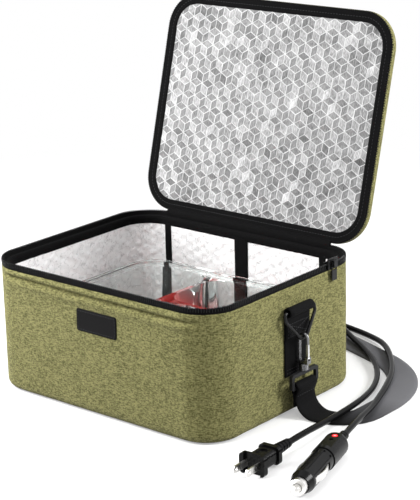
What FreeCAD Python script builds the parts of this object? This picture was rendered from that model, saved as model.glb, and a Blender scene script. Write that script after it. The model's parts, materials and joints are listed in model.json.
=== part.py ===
"""Electric lunch box: a zipped insulated bag with a hinged lid, a heating plate that stands on the
bag's floor, a glass dish with three compartments, a shoulder strap and two loose power leads.

Frame: millimetres, +Z up, origin in the middle of the bag's footprint on the surface it stands on.
-Y is the front, where the label patch is, +X is the right side, and the lid hinges at the back, +Y.
The lid is drawn standing open, with the plate and the dish seated inside the bag.
"""
import FreeCAD, Part
import math
import os

V = FreeCAD.Vector
ORIGIN = V(0, 0, 0)
X_AXIS = V(1, 0, 0)
Y_AXIS = V(0, 1, 0)
Z_AXIS = V(0, 0, 1)
HALF_TURN = 180.0
QUARTER_TURN = 90.0
FULL_TURN = 360.0

# Overrun of every cut past the face it opens.
overrun = 5.0

# Bag: outer size, wall layers and floor layers.
bag_corner_radius = 34.0
bag_wall_height = 117.0
bag_base_height = 8.0
bag_base_edge_radius = 7.0
fabric_thickness = 1.0
wall_foam_thickness = 4.0
liner_thickness = 0.6
base_board_thickness = 2.2
floor_foam_thickness = 4.0
floor_foam_edge_radius = 4.0
base_board_margin = 0.2

# Rim of the bag: binding, zip tape and zip chain.
binding_thickness = 0.6
binding_cover_height = 11.0
zip_tape_inset = 0.2
zip_tape_thickness = 2.0
zip_tape_height = 4.4
zip_chain_inset = 0.3
zip_chain_width = 1.8
zip_chain_height = 1.2
zip_parting_gap = 1.8

# Lid: layers, border and the angle at which it stands open.
lid_open_angle = 105.0
lid_foam_thickness = 8.0
lid_border_width = 8.0
lid_border_thickness = 1.0
lid_chain_height = 1.2
lid_edge_radius = 5.0
lid_foam_edge_radius = 4.0
hinge_fold_gap = 0.3

# Label patch on the front and the bands sewn to the back lining.
label_width = 47.0
label_height = 20.5
label_thickness = 0.6
label_corner_radius = 2.0
label_centre_x = 4.5
label_centre_z = 87.5
band_thickness = 1.0
band_narrow_width = 8.0
band_wide_width = 16.0
band_from_side = 38.5
band_centre_x = -2.0
band_foot_gap = 0.3

# Zip slider on the right side of the rim, with its pull.
slider_length = 14.0
slider_height = 9.6
slider_plate_thickness = 1.5
slider_clearance = 0.3
slider_wedge_length = 5.0
slider_wedge_height = 1.0
slider_from_corner = 11.0
bail_width = 4.6
bail_reach = 3.0
bail_height = 6.0
bail_wall = 1.1
pull_length = 17.0
pull_width = 7.0
pull_thickness = 1.2
pull_eye_gap = 0.6

# Side tab, ring and snap hook of the shoulder strap.
tab_width = 34.0
tab_thickness = 1.6
tab_centre_y = 8.0
tab_foot_z = 36.0
tab_roll_z = 96.0
tab_roll_radius = 4.6
ring_wire = 3.0
ring_clearance = 0.4
ring_width = 42.0
ring_drop = 26.0
ring_shoulder_drop = 7.0
ring_bend_radius = 3.0
ring_foot_width = 9.0
hook_standoff = 9.0
hook_wire = 2.8
hook_half_width = 4.4
hook_ring_gap = 0.3
hook_length = 24.0
hook_tip_drop = 4.5
hook_barrel_diameter = 8.0
hook_barrel_height = 6.0
hook_neck_height = 3.0
gate_width = 2.2
gate_gap = 0.4
gate_pin_diameter = 1.6
gate_fork_width = 5.6
buckle_width = 38.0
buckle_height = 15.0
buckle_thickness = 3.2
buckle_bar = 3.4
buckle_corner_radius = 3.0
buckle_stem_diameter = 4.0
buckle_stem_clearance = 0.3

# Shoulder strap: webbing, and the turns that it makes on the floor.
strap_width = 28.0
strap_thickness = 1.8
strap_loop_clearance = 0.3
strap_floor_bend = 18.0
strap_first_turn_radius = 30.0
strap_behind = 80.8
strap_second_turn_radius = 103.0
strap_second_turn_angle = 70.0
strap_back_run = 54.0
adjuster_length = 24.0
adjuster_width = 37.0
adjuster_bar = 4.0
adjuster_thickness = 2.4
adjuster_corner_radius = 3.0

# Heating plate: casing, cover and feet.
plate_margin_x = 17.0
plate_margin_y = 12.5
plate_room_x = 3.9
plate_room_y = 7.9
plate_corner_radius = 24.0
plate_seat_gap = 0.2
plate_setback = 5.0
foot_pad_thickness = 1.5
foot_pad_diameter = 12.0
foot_height = 6.5
foot_length = 38.0
foot_depth = 30.0
foot_slope = 7.0
casing_wall = 2.0
casing_floor = 2.0
casing_height = 10.4
cover_thickness = 1.6
cover_edge_radius = 1.0
screw_inset_x = 15.0
screw_inset_y = 15.5
screw_boss_diameter = 7.0
screw_head_diameter = 5.6
screw_head_height = 2.0
screw_shank_diameter = 3.0
screw_shank_length = 5.6
screw_recess_diameter = 6.4
screw_clearance = 0.2
screw_boss_gap = 0.3

# Heater stack under the cover.
mica_thickness = 0.4
heater_wire_thickness = 0.8
heater_ribbon_width = 2.4
heater_margin = 24.0
heater_rows = 6
heater_lane_gap = 7.0
heater_edge = 10.0
felt_margin = 20.0
thermostat_diameter = 16.0
thermostat_height = 5.0
thermostat_offset_x = 40.0
thermostat_clearance = 0.3

# Socket boss on the front of the casing, with its two sockets.
boss_left = -30.0
boss_right = 46.0
boss_reach = 6.0
boss_slope = 5.0
boss_drop = 4.0
socket_drop = 7.0
inlet_offset_x = 2.0
inlet_width = 20.0
inlet_height = 9.6
inlet_corner_radius = 4.0
inlet_depth = 15.0
inlet_cavity_depth = 11.5
inlet_lobe_diameter = 8.0
inlet_pin_spacing = 8.6
inlet_pin_diameter = 2.4
inlet_pin_length = 8.5
socket_clearance = 0.15
jack_offset_x = 30.0
jack_diameter = 10.0
jack_flange_diameter = 12.0
jack_flange_thickness = 0.8
jack_depth = 14.0
jack_bore_diameter = 6.4
jack_bore_depth = 10.5
jack_pin_diameter = 2.1
jack_pin_length = 9.0
boss_rib_width = 3.0
boss_rib_reach = 1.2

# Glass dish with three compartments.
dish_length = 212.0
dish_depth = 162.0
dish_height = 52.0
dish_corner_radius = 30.0
dish_foot_inset_x = 12.0
dish_foot_inset_y = 11.0
dish_foot_corner_radius = 24.0
dish_rim_height = 4.5
dish_rim_reach = 3.0
dish_wall = 4.5
dish_floor = 5.0
dish_divider = 5.0
dish_divider_drop = 5.0
dish_pocket_draft = 8.0
dish_pocket_radius = 14.0
dish_left_share = 0.4
dish_front_share = 0.5
dish_seat_gap = 0.2

# Mains lead: plug, cord and appliance connector.
cord_diameter = 5.5
plug_heading = -86.0
plug_width = 25.0
plug_height = 18.0
plug_flange_length = 5.0
plug_waist_width = 17.4
plug_waist_height = 13.0
plug_waist_length = 20.0
plug_rear_width = 20.5
plug_rear_height = 15.6
plug_rear_length = 4.6
plug_corner_radius = 3.6
plug_notch_width = 16.4
plug_notch_depth = 3.0
plug_recess_length = 11.5
plug_recess_width = 8.0
plug_recess_depth = 1.2
plug_relief_length = 26.0
plug_relief_diameter = 11.0
plug_relief_end_diameter = 7.8
plug_relief_rings = 6
plug_relief_groove = 0.6
blade_width = 6.3
blade_thickness = 1.5
blade_length = 17.0
blade_spacing = 12.7
blade_root = 8.0
blade_hole_diameter = 3.0
blade_hole_inset = 4.0
blade_tip_chamfer = 1.4
connector_nose_width = 14.4
connector_nose_height = 7.4
connector_nose_length = 11.0
connector_body_width = 17.0
connector_body_height = 10.4
connector_body_length = 20.0
connector_body_radius = 3.0
connector_hole_diameter = 2.8
connector_relief_length = 14.0
connector_relief_diameter = 8.0
connector_relief_end_diameter = 7.2

# Car lead: cigarette-lighter plug and barrel connector.
car_heading = -73.6
car_barrel_diameter = 20.0
car_barrel_length = 46.0
car_nose_diameter = 16.0
car_nose_length = 7.0
car_nut_diameter = 14.0
car_nut_length = 6.0
car_nut_bore = 8.0
car_shoulder_length = 5.0
car_grip_diameter = 21.5
car_grip_round = 8.0
car_grip_length = 34.0
car_relief_length = 16.0
car_relief_diameter = 9.4
car_relief_end_diameter = 8.0
car_relief_rings = 4
car_flat_height = 9.3
car_flat_setback = 3.0
car_flute_count = 10
car_flute_width = 1.8
car_flute_depth = 0.8
car_flute_margin = 3.0
car_nut_chamfer = 0.7
car_tip_diameter = 7.4
car_tip_reach = 8.0
car_tip_collar_diameter = 9.6
car_tip_collar_length = 3.0
car_tip_travel = 4.0
car_fuse_diameter = 6.3
car_fuse_length = 30.0
car_core_diameter = 10.4
car_clip_width = 6.0
car_clip_thickness = 0.9
car_clip_length = 30.0
car_clip_bow = 2.6
car_clip_depth = 1.4
car_clip_clearance = 0.4
car_clip_slot_depth = 4.8
car_clip_pin_diameter = 1.6
car_clip_setback = 6.0
car_lamp_diameter = 5.0
car_lamp_height = 2.4
car_lamp_from_rear = 9.5
car_lamp_drop = 0.3
car_window_diameter = 7.4
car_window_depth = 1.1
car_screw_hole_diameter = 3.4
car_screw_hole_depth = 1.8
car_screw_hole_from_rear = 18.5
barrel_grip_diameter = 9.6
barrel_grip_length = 26.0
barrel_diameter = 5.5
barrel_length = 9.5
barrel_bore_diameter = 2.5
barrel_bore_depth = 8.5

# Coils of the two leads, wound in two layers, with a tail that turns to the connector.
coil_pitch = 6.2
coil_layer_step = 6.2
coil_low_z = 4.95
coil_tail_run = 29.0
coil_tail_radius = 22.0
mains_coil_x = 8.0
mains_coil_behind = 53.0
mains_coil_radius = 39.0
mains_coil_half_turns = 5
car_coil_x = -93.0
car_coil_behind = 51.0
car_coil_radius = 36.0
car_coil_half_turns = 4
coil_gap_sample = 4.0
coil_gap_skip = 60.0

# Routes of the two cords on the floor, from the plug to the coil: chosen points. The side ones are
# (out from the bag's right side, y, z), and the back ones are (x, out from the bag's back, z).
cord_bend_share = 0.45
mains_side_route = [
    (50.675, -68.5, plug_height / 2),
    (49.1, -46.0, plug_height / 2),
    (47.0, -22.0, 7.4),
    (44.5, 6.0, 5.6),
    (41.5, 36.0, 5.0),
    (36.0, 64.0, 3.7),
    (27.0, 91.0, 2.9),
]
mains_back_route = [
    (144.5, 11.0, 3.4),
    (123.0, 35.0, 5.0),
    (96.0, 56.0, 5.0),
    (66.0, 75.0, 5.6),
    (37.0, 92.0, 11.15),
]
car_side_route = [
    (80.6, -30.6, car_grip_diameter / 2),
    (76.2, -15.65, car_grip_diameter / 2),
    (66.0, 16.0, 8.6),
    (57.5, 42.0, 5.4),
    (48.0, 68.0, 5.0),
    (37.5, 95.0, 5.0),
]
car_back_route = [
    (156.0, 17.0, 5.0),
    (135.0, 47.0, 5.0),
    (108.0, 76.0, 4.8),
    (80.0, 90.0, 3.2),
    (52.0, 98.0, 2.75),
    (22.0, 103.0, 2.75),
    (-10.0, 104.0, 3.0),
    (-39.0, 98.0, 7.0),
    (-66.0, 87.0, 11.15),
]

# Levels worked out from the layers.
board_bottom = fabric_thickness
foam_bottom = board_bottom + base_board_thickness
liner_bottom = foam_bottom + floor_foam_thickness
floor_level = liner_bottom + liner_thickness
foam_inset = fabric_thickness
liner_inset = foam_inset + wall_foam_thickness
inside_inset = liner_inset + liner_thickness
plate_length = dish_length + 2 * plate_margin_x
plate_depth = dish_depth + 2 * plate_margin_y
bag_length = plate_length + 2 * (plate_room_x + inside_inset)
bag_depth = plate_depth + 2 * (plate_room_y + inside_inset)
rim_level = bag_wall_height
chain_bottom = rim_level + zip_tape_height
chain_top = chain_bottom + zip_chain_height
lid_bottom = chain_top + zip_parting_gap
hinge_z = (chain_top + lid_bottom) / 2
hinge_y = bag_depth / 2
hinge_half = bag_length / 2 - bag_corner_radius
lid_foam_bottom = lid_bottom + lid_chain_height
lid_foam_top = lid_foam_bottom + lid_foam_thickness
lid_top = lid_foam_top + fabric_thickness
plate_bottom = floor_level + plate_seat_gap
casing_bottom = plate_bottom + foot_pad_thickness + foot_height
casing_top = casing_bottom + casing_height
plate_top = casing_top + cover_thickness
dish_bottom = plate_top + dish_seat_gap
socket_z = casing_top - socket_drop
strap_hang_x = bag_length / 2 + hook_standoff
coil_high_z = coil_low_z + coil_layer_step
mains_coil_centre = (mains_coil_x, bag_depth / 2 + mains_coil_behind)
car_coil_centre = (car_coil_x, bag_depth / 2 + car_coil_behind)

# The strap's run beside the bag, which sets how far behind the bag its middle lies.
strap_turn = math.radians(strap_second_turn_angle)
band_offset_x = bag_length / 2 - band_from_side
strap_lean = math.radians(QUARTER_TURN - strap_second_turn_angle)
strap_side_x = strap_hang_x + strap_floor_bend + strap_first_turn_radius
strap_bend_x = strap_side_x - strap_second_turn_radius * (1 - math.cos(strap_turn))
strap_end_x = strap_bend_x - strap_back_run * math.cos(strap_lean)
strap_rise = strap_second_turn_radius * math.sin(strap_turn) + strap_back_run * math.sin(strap_lean)
strap_rise += strap_end_x * math.tan(strap_lean / 2) + strap_first_turn_radius
strap_side_run = bag_depth / 2 + strap_behind - tab_centre_y - strap_rise


def lead_route(side_points, back_points):
    """Points of a cord's route, placed from the bag's right side and then from its back."""
    points = [(bag_length / 2 + out, y, z) for out, y, z in side_points]
    return points + [(x, bag_depth / 2 + out, z) for x, out, z in back_points]


mains_route = lead_route(mains_side_route, mains_back_route)
car_route = lead_route(car_side_route, car_back_route)


def rounded_wire(length, depth, radius, z, centre_x=0.0, centre_y=0.0):
    """Closed outline of a rectangle with round corners, flat at height z."""
    half_x = length / 2 - radius
    half_y = depth / 2 - radius
    diagonal = radius * math.sqrt(0.5)
    edges = []
    corners = ((1, 1), (-1, 1), (-1, -1), (1, -1))
    for turn, (sx, sy) in enumerate(corners):
        cx = centre_x + sx * half_x
        cy = centre_y + sy * half_y
        on_x = V(cx + sx * radius, cy, z)
        on_y = V(cx, cy + sy * radius, z)
        middle = V(cx + sx * diagonal, cy + sy * diagonal, z)
        first, last = (on_x, on_y) if turn % 2 == 0 else (on_y, on_x)
        if edges:
            edges.append(Part.LineSegment(edges[-1].EndPoint, first))
        edges.append(Part.Arc(first, middle, last))
    edges.append(Part.LineSegment(edges[-1].EndPoint, edges[0].StartPoint))
    return Part.Wire([edge.toShape() for edge in edges])


def rounded_prism(length, depth, radius, low, high, centre_x=0.0, centre_y=0.0):
    """Upright prism on a round-cornered rectangle."""
    face = Part.Face(rounded_wire(length, depth, radius, low, centre_x, centre_y))
    return face.extrude(V(0, 0, high - low))


def rounded_loft(low_size, high_size, low, high, centre_x=0.0, centre_y=0.0):
    """Tapered block between two round-cornered rectangles given as (length, depth, radius)."""
    wires = [
        rounded_wire(*low_size, low, centre_x, centre_y),
        rounded_wire(*high_size, high, centre_x, centre_y),
    ]
    return Part.makeLoft(wires, True, True)


def bag_prism(inset, low, high):
    """Prism on the bag's outline, set in by an even margin."""
    return rounded_prism(
        bag_length - 2 * inset, bag_depth - 2 * inset, bag_corner_radius - inset, low, high
    )


def bag_ring(outer_inset, inner_inset, low, high):
    """Ring that follows the bag's outline between two margins."""
    return bag_prism(outer_inset, low, high).cut(bag_prism(inner_inset, low - overrun, high + overrun))


def block(x0, x1, y0, y1, z0, z1):
    """Box between two corners."""
    return Part.makeBox(x1 - x0, y1 - y0, z1 - z0, V(x0, y0, z0))


def level_edges(shape, z):
    """Edges that lie flat at height z."""
    tolerance = 1e-4
    return [e for e in shape.Edges if all(abs(v.Z - z) < tolerance for v in e.Vertexes)]


def fillet_level(shape, z, radius):
    """Shape with the edges at height z rounded."""
    return shape.makeFillet(radius, level_edges(shape, z))


def mirror_x(shape):
    """The left-hand twin of a right-hand piece."""
    return shape.mirror(ORIGIN, X_AXIS)


def join(shapes):
    """One solid from pieces that share faces."""
    return shapes[0].multiFuse(shapes[1:]).removeSplitter()


def group(shapes):
    """Several separate solids in one node."""
    return Part.makeCompound(shapes)


def rod_path(points, bend_radii):
    """Edges of a path: straight runs joined by tangent arcs."""
    edges = []
    start = points[0]
    for before, corner, after, radius in zip(points, points[1:], points[2:], bend_radii):
        incoming = (corner - before).normalize()
        outgoing = (after - corner).normalize()
        turn = incoming.getAngle(outgoing)
        setback = radius * math.tan(turn / 2)
        first = corner - incoming * setback
        last = corner + outgoing * setback
        inward = (outgoing - incoming).normalize()
        centre = corner + inward * (radius / math.cos(turn / 2))
        edges.append(Part.LineSegment(start, first).toShape())
        edges.append(Part.Arc(first, centre - inward * radius, last).toShape())
        start = last
    edges.append(Part.LineSegment(start, points[-1]).toShape())
    return edges


def sweep_round(edges, diameter):
    """Round bar along a path of tangent edges."""
    path = Part.Wire(edges)
    first = edges[0]
    tangent = first.tangentAt(first.FirstParameter)
    start = first.valueAt(first.FirstParameter)
    section = Part.Wire([Part.makeCircle(diameter / 2, start, tangent)])
    return path.makePipeShell([section], True, False)


def revolve_x(points):
    """Solid turned about the X axis from an outline in (x, radius)."""
    outline = [V(x, 0, radius) for x, radius in points]
    face = Part.Face(Part.makePolygon(outline + outline[:1]))
    return face.revolve(ORIGIN, X_AXIS, FULL_TURN)


def lay_out(shape, heading, origin):
    """Piece built along +X from its cord end, turned to a heading and set at its place."""
    placed = shape.copy()
    placed.rotate(ORIGIN, Z_AXIS, heading)
    placed.translate(V(*origin))
    return placed


def swing_lid(shape):
    """Lid piece turned from closed to the angle at which the lid stands open."""
    opened = shape.copy()
    opened.rotate(V(0, hinge_y, hinge_z), X_AXIS, -lid_open_angle)
    return opened


def hinge_zone(low, high):
    """Block over the straight run of the back edge, where the tape is the hinge."""
    return block(-hinge_half, hinge_half, 0, bag_depth, low - overrun, high + overrun)


def build_bag():
    """Walls, floor, lining and rim of the bag."""
    pieces = {}
    pieces["bag_wall_fabric"] = bag_ring(0, fabric_thickness, bag_base_height, bag_wall_height)

    tray = fillet_level(bag_prism(0, 0, bag_base_height), 0, bag_base_edge_radius)
    hollow = bag_prism(fabric_thickness, fabric_thickness, bag_base_height + overrun)
    hollow = fillet_level(hollow, fabric_thickness, bag_base_edge_radius - fabric_thickness)
    pieces["bag_base_fabric"] = tray.cut(hollow)

    pieces["base_board"] = bag_prism(bag_base_edge_radius + base_board_margin, board_bottom, foam_bottom)

    foam = bag_prism(foam_inset, foam_bottom, rim_level)
    foam = fillet_level(foam, foam_bottom, floor_foam_edge_radius)
    pieces["bag_insulation"] = foam.cut(bag_prism(liner_inset, liner_bottom, rim_level + overrun))

    liner = bag_prism(liner_inset, liner_bottom, rim_level)
    pieces["bag_liner"] = liner.cut(bag_prism(inside_inset, floor_level, rim_level + overrun))

    tape_inner = zip_tape_inset + zip_tape_thickness
    binding_inner = inside_inset + binding_thickness
    cap = bag_ring(tape_inner, binding_inner, rim_level, rim_level + binding_thickness)
    cover = bag_ring(inside_inset, binding_inner, rim_level - binding_cover_height, rim_level)
    pieces["rim_binding"] = join([cap, cover])

    tape = bag_ring(zip_tape_inset, tape_inner, rim_level, chain_bottom)
    pieces["bag_zip_tape"] = tape.cut(hinge_zone(rim_level, chain_bottom))
    chain = bag_ring(zip_chain_inset, zip_chain_inset + zip_chain_width, chain_bottom, chain_top)
    pieces["bag_zip_chain"] = chain.cut(hinge_zone(chain_bottom, chain_top))

    hinge_top = hinge_z - hinge_fold_gap
    fold = bag_ring(zip_tape_inset, tape_inner, rim_level, hinge_top)
    pieces["hinge_tape"] = fold.common(hinge_zone(rim_level, hinge_top))

    patch = rounded_prism(
        label_width, label_height, label_corner_radius, 0, label_thickness, label_centre_x, -label_centre_z
    )
    patch.rotate(ORIGIN, X_AXIS, -QUARTER_TURN)
    patch.translate(V(0, -bag_depth / 2 - label_thickness, 0))
    pieces["label_patch"] = patch

    back = bag_depth / 2 - inside_inset
    foot = floor_level + band_foot_gap
    top = rim_level - binding_cover_height
    bands = []
    for centre, width in (
        (-band_offset_x, band_narrow_width),
        (band_centre_x, band_wide_width),
        (band_offset_x, band_narrow_width),
    ):
        half = width / 2
        bands.append(block(centre - half, centre + half, back - band_thickness, back, foot, top))
    pieces["liner_bands"] = group(bands)
    return pieces


def build_lid():
    """Layers of the lid, drawn closed and then swung open."""
    pieces = {}
    shell = fillet_level(bag_prism(0, lid_foam_bottom, lid_top), lid_top, lid_edge_radius)
    foam = bag_prism(foam_inset, lid_foam_bottom, lid_foam_top)
    foam = fillet_level(foam, lid_foam_top, lid_foam_edge_radius)
    pieces["lid_outer_shell"] = shell.cut(foam)
    pieces["lid_insulation"] = foam

    chain_inner = zip_chain_inset + zip_chain_width
    border_inner = chain_inner + lid_border_width
    border_bottom = lid_foam_bottom - lid_border_thickness
    pieces["lid_zip_tape"] = bag_ring(chain_inner, border_inner, border_bottom, lid_foam_bottom)
    chain = bag_ring(zip_chain_inset, chain_inner, lid_bottom, lid_foam_bottom)
    pieces["lid_zip_chain"] = chain.cut(hinge_zone(lid_bottom, lid_foam_bottom))
    liner_low = lid_foam_bottom - liner_thickness
    pieces["lid_liner"] = bag_prism(border_inner, liner_low, lid_foam_bottom)

    fold_bottom = hinge_z + hinge_fold_gap
    fold = bag_ring(zip_chain_inset, chain_inner, fold_bottom, lid_foam_bottom)
    pieces["lid_hinge_tape"] = fold.common(hinge_zone(fold_bottom, lid_foam_bottom))
    return {name: swing_lid(shape) for name, shape in pieces.items()}


def build_zip_slider():
    """Slider that straddles the chain on the right side, and the pull that hangs from its bail."""
    outer = bag_length / 2
    start = bag_depth / 2 - bag_corner_radius - slider_from_corner
    y0 = start - slider_length / 2
    y1 = start + slider_length / 2
    front = outer + slider_clearance
    front_out = front + slider_plate_thickness
    back_out = outer - zip_tape_inset - zip_tape_thickness - slider_clearance
    back = back_out - slider_plate_thickness
    low = chain_top - slider_height / 2
    wedge_low = hinge_z - slider_wedge_height / 2
    wedge_high = hinge_z + slider_wedge_height / 2
    face = block(front, front_out, y0, y1, low, low + slider_height)
    rear = block(back, back_out, y0, y1, rim_level + binding_thickness + slider_clearance, wedge_high)
    wedge_half = slider_wedge_length / 2
    wedge = block(back, front_out, start - wedge_half, start + wedge_half, wedge_low, wedge_high)

    bail_low = chain_top - bail_height / 2
    bail_high = bail_low + bail_height
    half = bail_width / 2
    bail = block(front_out, front_out + bail_reach, start - half, start + half, bail_low, bail_high)
    window_low = bail_low + bail_wall
    window_high = bail_high - bail_wall
    window_out = front_out + bail_reach - bail_wall
    window = block(front_out, window_out, start - bail_width, start + bail_width, window_low, window_high)
    slider = join([face, rear, wedge, bail.cut(window)])

    pull_x = (front_out + window_out) / 2
    pull_top = window_high - pull_eye_gap / 2
    plate = block(
        pull_x - pull_thickness / 2,
        pull_x + pull_thickness / 2,
        start - pull_width / 2,
        start + pull_width / 2,
        pull_top - pull_length,
        pull_top,
    )
    eye_top = pull_top - bail_wall
    eye_half = half + pull_eye_gap
    eye_low = eye_top - bail_height
    eye = block(front, front_out + bail_reach, start - eye_half, start + eye_half, eye_low, eye_top)
    return {"zip_slider": slider, "zip_pull": plate.cut(eye)}


def build_strap_end():
    """Tab, ring, snap hook, gate and buckle on the right side; the left side is their mirror."""
    wall = bag_length / 2
    bar_x = wall + tab_roll_radius
    low_y = tab_centre_y - tab_width / 2

    sheet = block(wall, wall + tab_thickness, low_y, low_y + tab_width, tab_foot_z, tab_roll_z)
    roll = Part.makeCylinder(tab_roll_radius, tab_width, V(bar_x, low_y, tab_roll_z), Y_AXIS)
    bore_radius = ring_wire / 2 + ring_clearance
    bore = Part.makeCylinder(
        bore_radius, tab_width + 2 * overrun, V(bar_x, low_y - overrun, tab_roll_z), Y_AXIS
    )
    tab = join([sheet, roll]).cut(bore)

    half_bar = ring_width / 2
    half_foot = ring_foot_width / 2
    outline = [
        V(0, 0, 0),
        V(0, half_bar, 0),
        V(0, half_bar, -ring_shoulder_drop),
        V(0, half_foot, -ring_drop),
        V(0, 0, -ring_drop),
    ]
    half_ring = sweep_round(rod_path(outline, [ring_bend_radius] * len(outline[2:])), ring_wire)
    ring = join([half_ring, half_ring.mirror(ORIGIN, Y_AXIS)])
    lean = math.degrees(math.asin((strap_hang_x - bar_x) / ring_drop))
    ring.rotate(ORIGIN, Y_AXIS, -lean)
    ring.translate(V(bar_x, tab_centre_y, tab_roll_z))

    foot_z = tab_roll_z - ring_drop * math.cos(math.radians(lean))
    crown_z = foot_z + ring_wire / 2 + hook_ring_gap + hook_wire / 2
    neck_z = crown_z - hook_length
    inner_x = strap_hang_x - hook_half_width
    outer_x = strap_hang_x + hook_half_width
    arm_top = crown_z - hook_half_width
    shank = V(inner_x, tab_centre_y, neck_z)
    inner_top = V(inner_x, tab_centre_y, arm_top)
    crown = V(strap_hang_x, tab_centre_y, crown_z)
    outer_top = V(outer_x, tab_centre_y, arm_top)
    tip = V(outer_x, tab_centre_y, arm_top - hook_tip_drop)
    bend = [
        Part.LineSegment(shank, inner_top).toShape(),
        Part.Arc(inner_top, crown, outer_top).toShape(),
        Part.LineSegment(outer_top, tip).toShape(),
    ]
    hook_wire_solid = sweep_round(bend, hook_wire)
    foot_half = hook_half_width + hook_wire / 2
    foot = block(
        strap_hang_x - foot_half,
        strap_hang_x + foot_half,
        tab_centre_y - gate_fork_width / 2,
        tab_centre_y + gate_fork_width / 2,
        neck_z - hook_neck_height,
        neck_z,
    )
    fork = block(
        outer_x - hook_wire / 2,
        outer_x + hook_wire / 2,
        tab_centre_y - gate_fork_width / 2,
        tab_centre_y + gate_fork_width / 2,
        neck_z,
        neck_z + hook_wire + gate_gap,
    )
    fork_slot = block(
        outer_x - hook_wire,
        outer_x + hook_wire,
        tab_centre_y - gate_width / 2 - gate_gap,
        tab_centre_y + gate_width / 2 + gate_gap,
        neck_z,
        neck_z + hook_wire + overrun,
    )
    pivot_z = neck_z + gate_gap + hook_wire / 2
    pin = Part.makeCylinder(
        gate_pin_diameter / 2,
        gate_fork_width,
        V(outer_x, tab_centre_y - gate_fork_width / 2, pivot_z),
        Y_AXIS,
    )
    barrel_top = neck_z - hook_neck_height
    barrel_low = barrel_top - hook_barrel_height
    barrel = Part.makeCylinder(
        hook_barrel_diameter / 2, hook_barrel_height, V(strap_hang_x, tab_centre_y, barrel_low)
    )
    stem_bore = Part.makeCylinder(
        buckle_stem_diameter / 2 + buckle_stem_clearance,
        hook_barrel_height,
        V(strap_hang_x, tab_centre_y, barrel_low),
    )
    hook = join([hook_wire_solid, foot, fork.cut(fork_slot), pin, barrel]).cut(stem_bore)

    gate_top = tip.z - gate_gap
    arm = block(
        outer_x - gate_width / 2,
        outer_x + gate_width / 2,
        tab_centre_y - gate_width / 2,
        tab_centre_y + gate_width / 2,
        pivot_z,
        gate_top,
    )
    eye = Part.makeCylinder(
        hook_wire / 2, gate_width, V(outer_x, tab_centre_y - gate_width / 2, pivot_z), Y_AXIS
    )
    eye_bore = Part.makeCylinder(
        gate_pin_diameter / 2 + gate_gap / 2,
        gate_width,
        V(outer_x, tab_centre_y - gate_width / 2, pivot_z),
        Y_AXIS,
    )
    gate = join([arm, eye]).cut(eye_bore)

    buckle_top = barrel_low - buckle_stem_clearance
    buckle_low = buckle_top - buckle_height
    middle = (buckle_top + buckle_low) / 2
    frame = rounded_prism(
        buckle_height, buckle_width, buckle_corner_radius, 0, buckle_thickness, -middle, tab_centre_y
    )
    slot = rounded_prism(
        buckle_height - 2 * buckle_bar,
        buckle_width - 2 * buckle_bar,
        buckle_corner_radius / 2,
        -overrun,
        buckle_thickness + overrun,
        -middle,
        tab_centre_y,
    )
    frame = frame.cut(slot)
    frame.rotate(ORIGIN, Y_AXIS, QUARTER_TURN)
    frame.translate(V(strap_hang_x - buckle_thickness / 2, 0, 0))
    stem = Part.makeCylinder(
        buckle_stem_diameter / 2,
        hook_barrel_height,
        V(strap_hang_x, tab_centre_y, buckle_top),
    )
    buckle = join([frame, stem])
    pieces = {
        "side_tab": tab,
        "tab_ring": ring,
        "snap_hook": hook,
        "hook_gate": gate,
        "strap_buckle": buckle,
    }
    return pieces, buckle_low + buckle_bar / 2


def strap_floor_band():
    """Right half of the strap on the floor: runs and turns laid one after another, as flat solids."""
    half = strap_width / 2
    x = strap_hang_x + strap_floor_bend
    y = tab_centre_y
    heading = 0.0
    solids = []

    def run(length):
        nonlocal x, y
        piece = block(0, length, -half, half, 0, strap_thickness)
        piece.rotate(ORIGIN, Z_AXIS, heading)
        piece.translate(V(x, y, 0))
        solids.append(piece)
        x += length * math.cos(math.radians(heading))
        y += length * math.sin(math.radians(heading))

    def turn_left(radius, angle):
        nonlocal x, y, heading
        side = math.radians(heading + QUARTER_TURN)
        centre = V(x + radius * math.cos(side), y + radius * math.sin(side), 0)
        outer = Part.makeCylinder(radius + half, strap_thickness, ORIGIN, Z_AXIS, angle)
        inner = Part.makeCylinder(radius - half, strap_thickness, ORIGIN, Z_AXIS, angle)
        piece = outer.cut(inner)
        piece.rotate(ORIGIN, Z_AXIS, heading - QUARTER_TURN)
        piece.translate(centre)
        solids.append(piece)
        heading += angle
        x = centre.x + radius * math.cos(math.radians(heading - QUARTER_TURN))
        y = centre.y + radius * math.sin(math.radians(heading - QUARTER_TURN))

    turn_left(strap_first_turn_radius, QUARTER_TURN)
    run(strap_side_run)
    turn_left(strap_second_turn_radius, strap_second_turn_angle)
    run(strap_back_run)
    last_turn = HALF_TURN - heading
    turn_left(x / math.sin(math.radians(last_turn)), last_turn)
    return solids


def build_adjuster(x, y):
    """Two-slot adjuster flat on the strap, and the fold of webbing over its middle bar."""
    low = strap_thickness
    high = low + adjuster_thickness
    frame = rounded_prism(adjuster_width, adjuster_length, adjuster_corner_radius, low, high, x, y)
    slot_half = adjuster_width / 2 - adjuster_bar
    slot_length = (adjuster_length - 3 * adjuster_bar) / 2
    for side in (-1, 1):
        middle = y + side * (adjuster_bar + slot_length) / 2
        slot_low = middle - slot_length / 2
        slot_high = middle + slot_length / 2
        frame = frame.cut(block(x - slot_half, x + slot_half, slot_low, slot_high, 0, high + overrun))
    half = strap_width / 2
    inner = adjuster_bar / 2 + strap_loop_clearance
    outer = inner + strap_thickness
    under = high + strap_loop_clearance
    fold = block(x - half, x + half, y - outer, y + outer, low, under + strap_thickness)
    fold = fold.cut(block(x - half, x + half, y - inner, y + inner, low, under))
    return frame, fold


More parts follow.
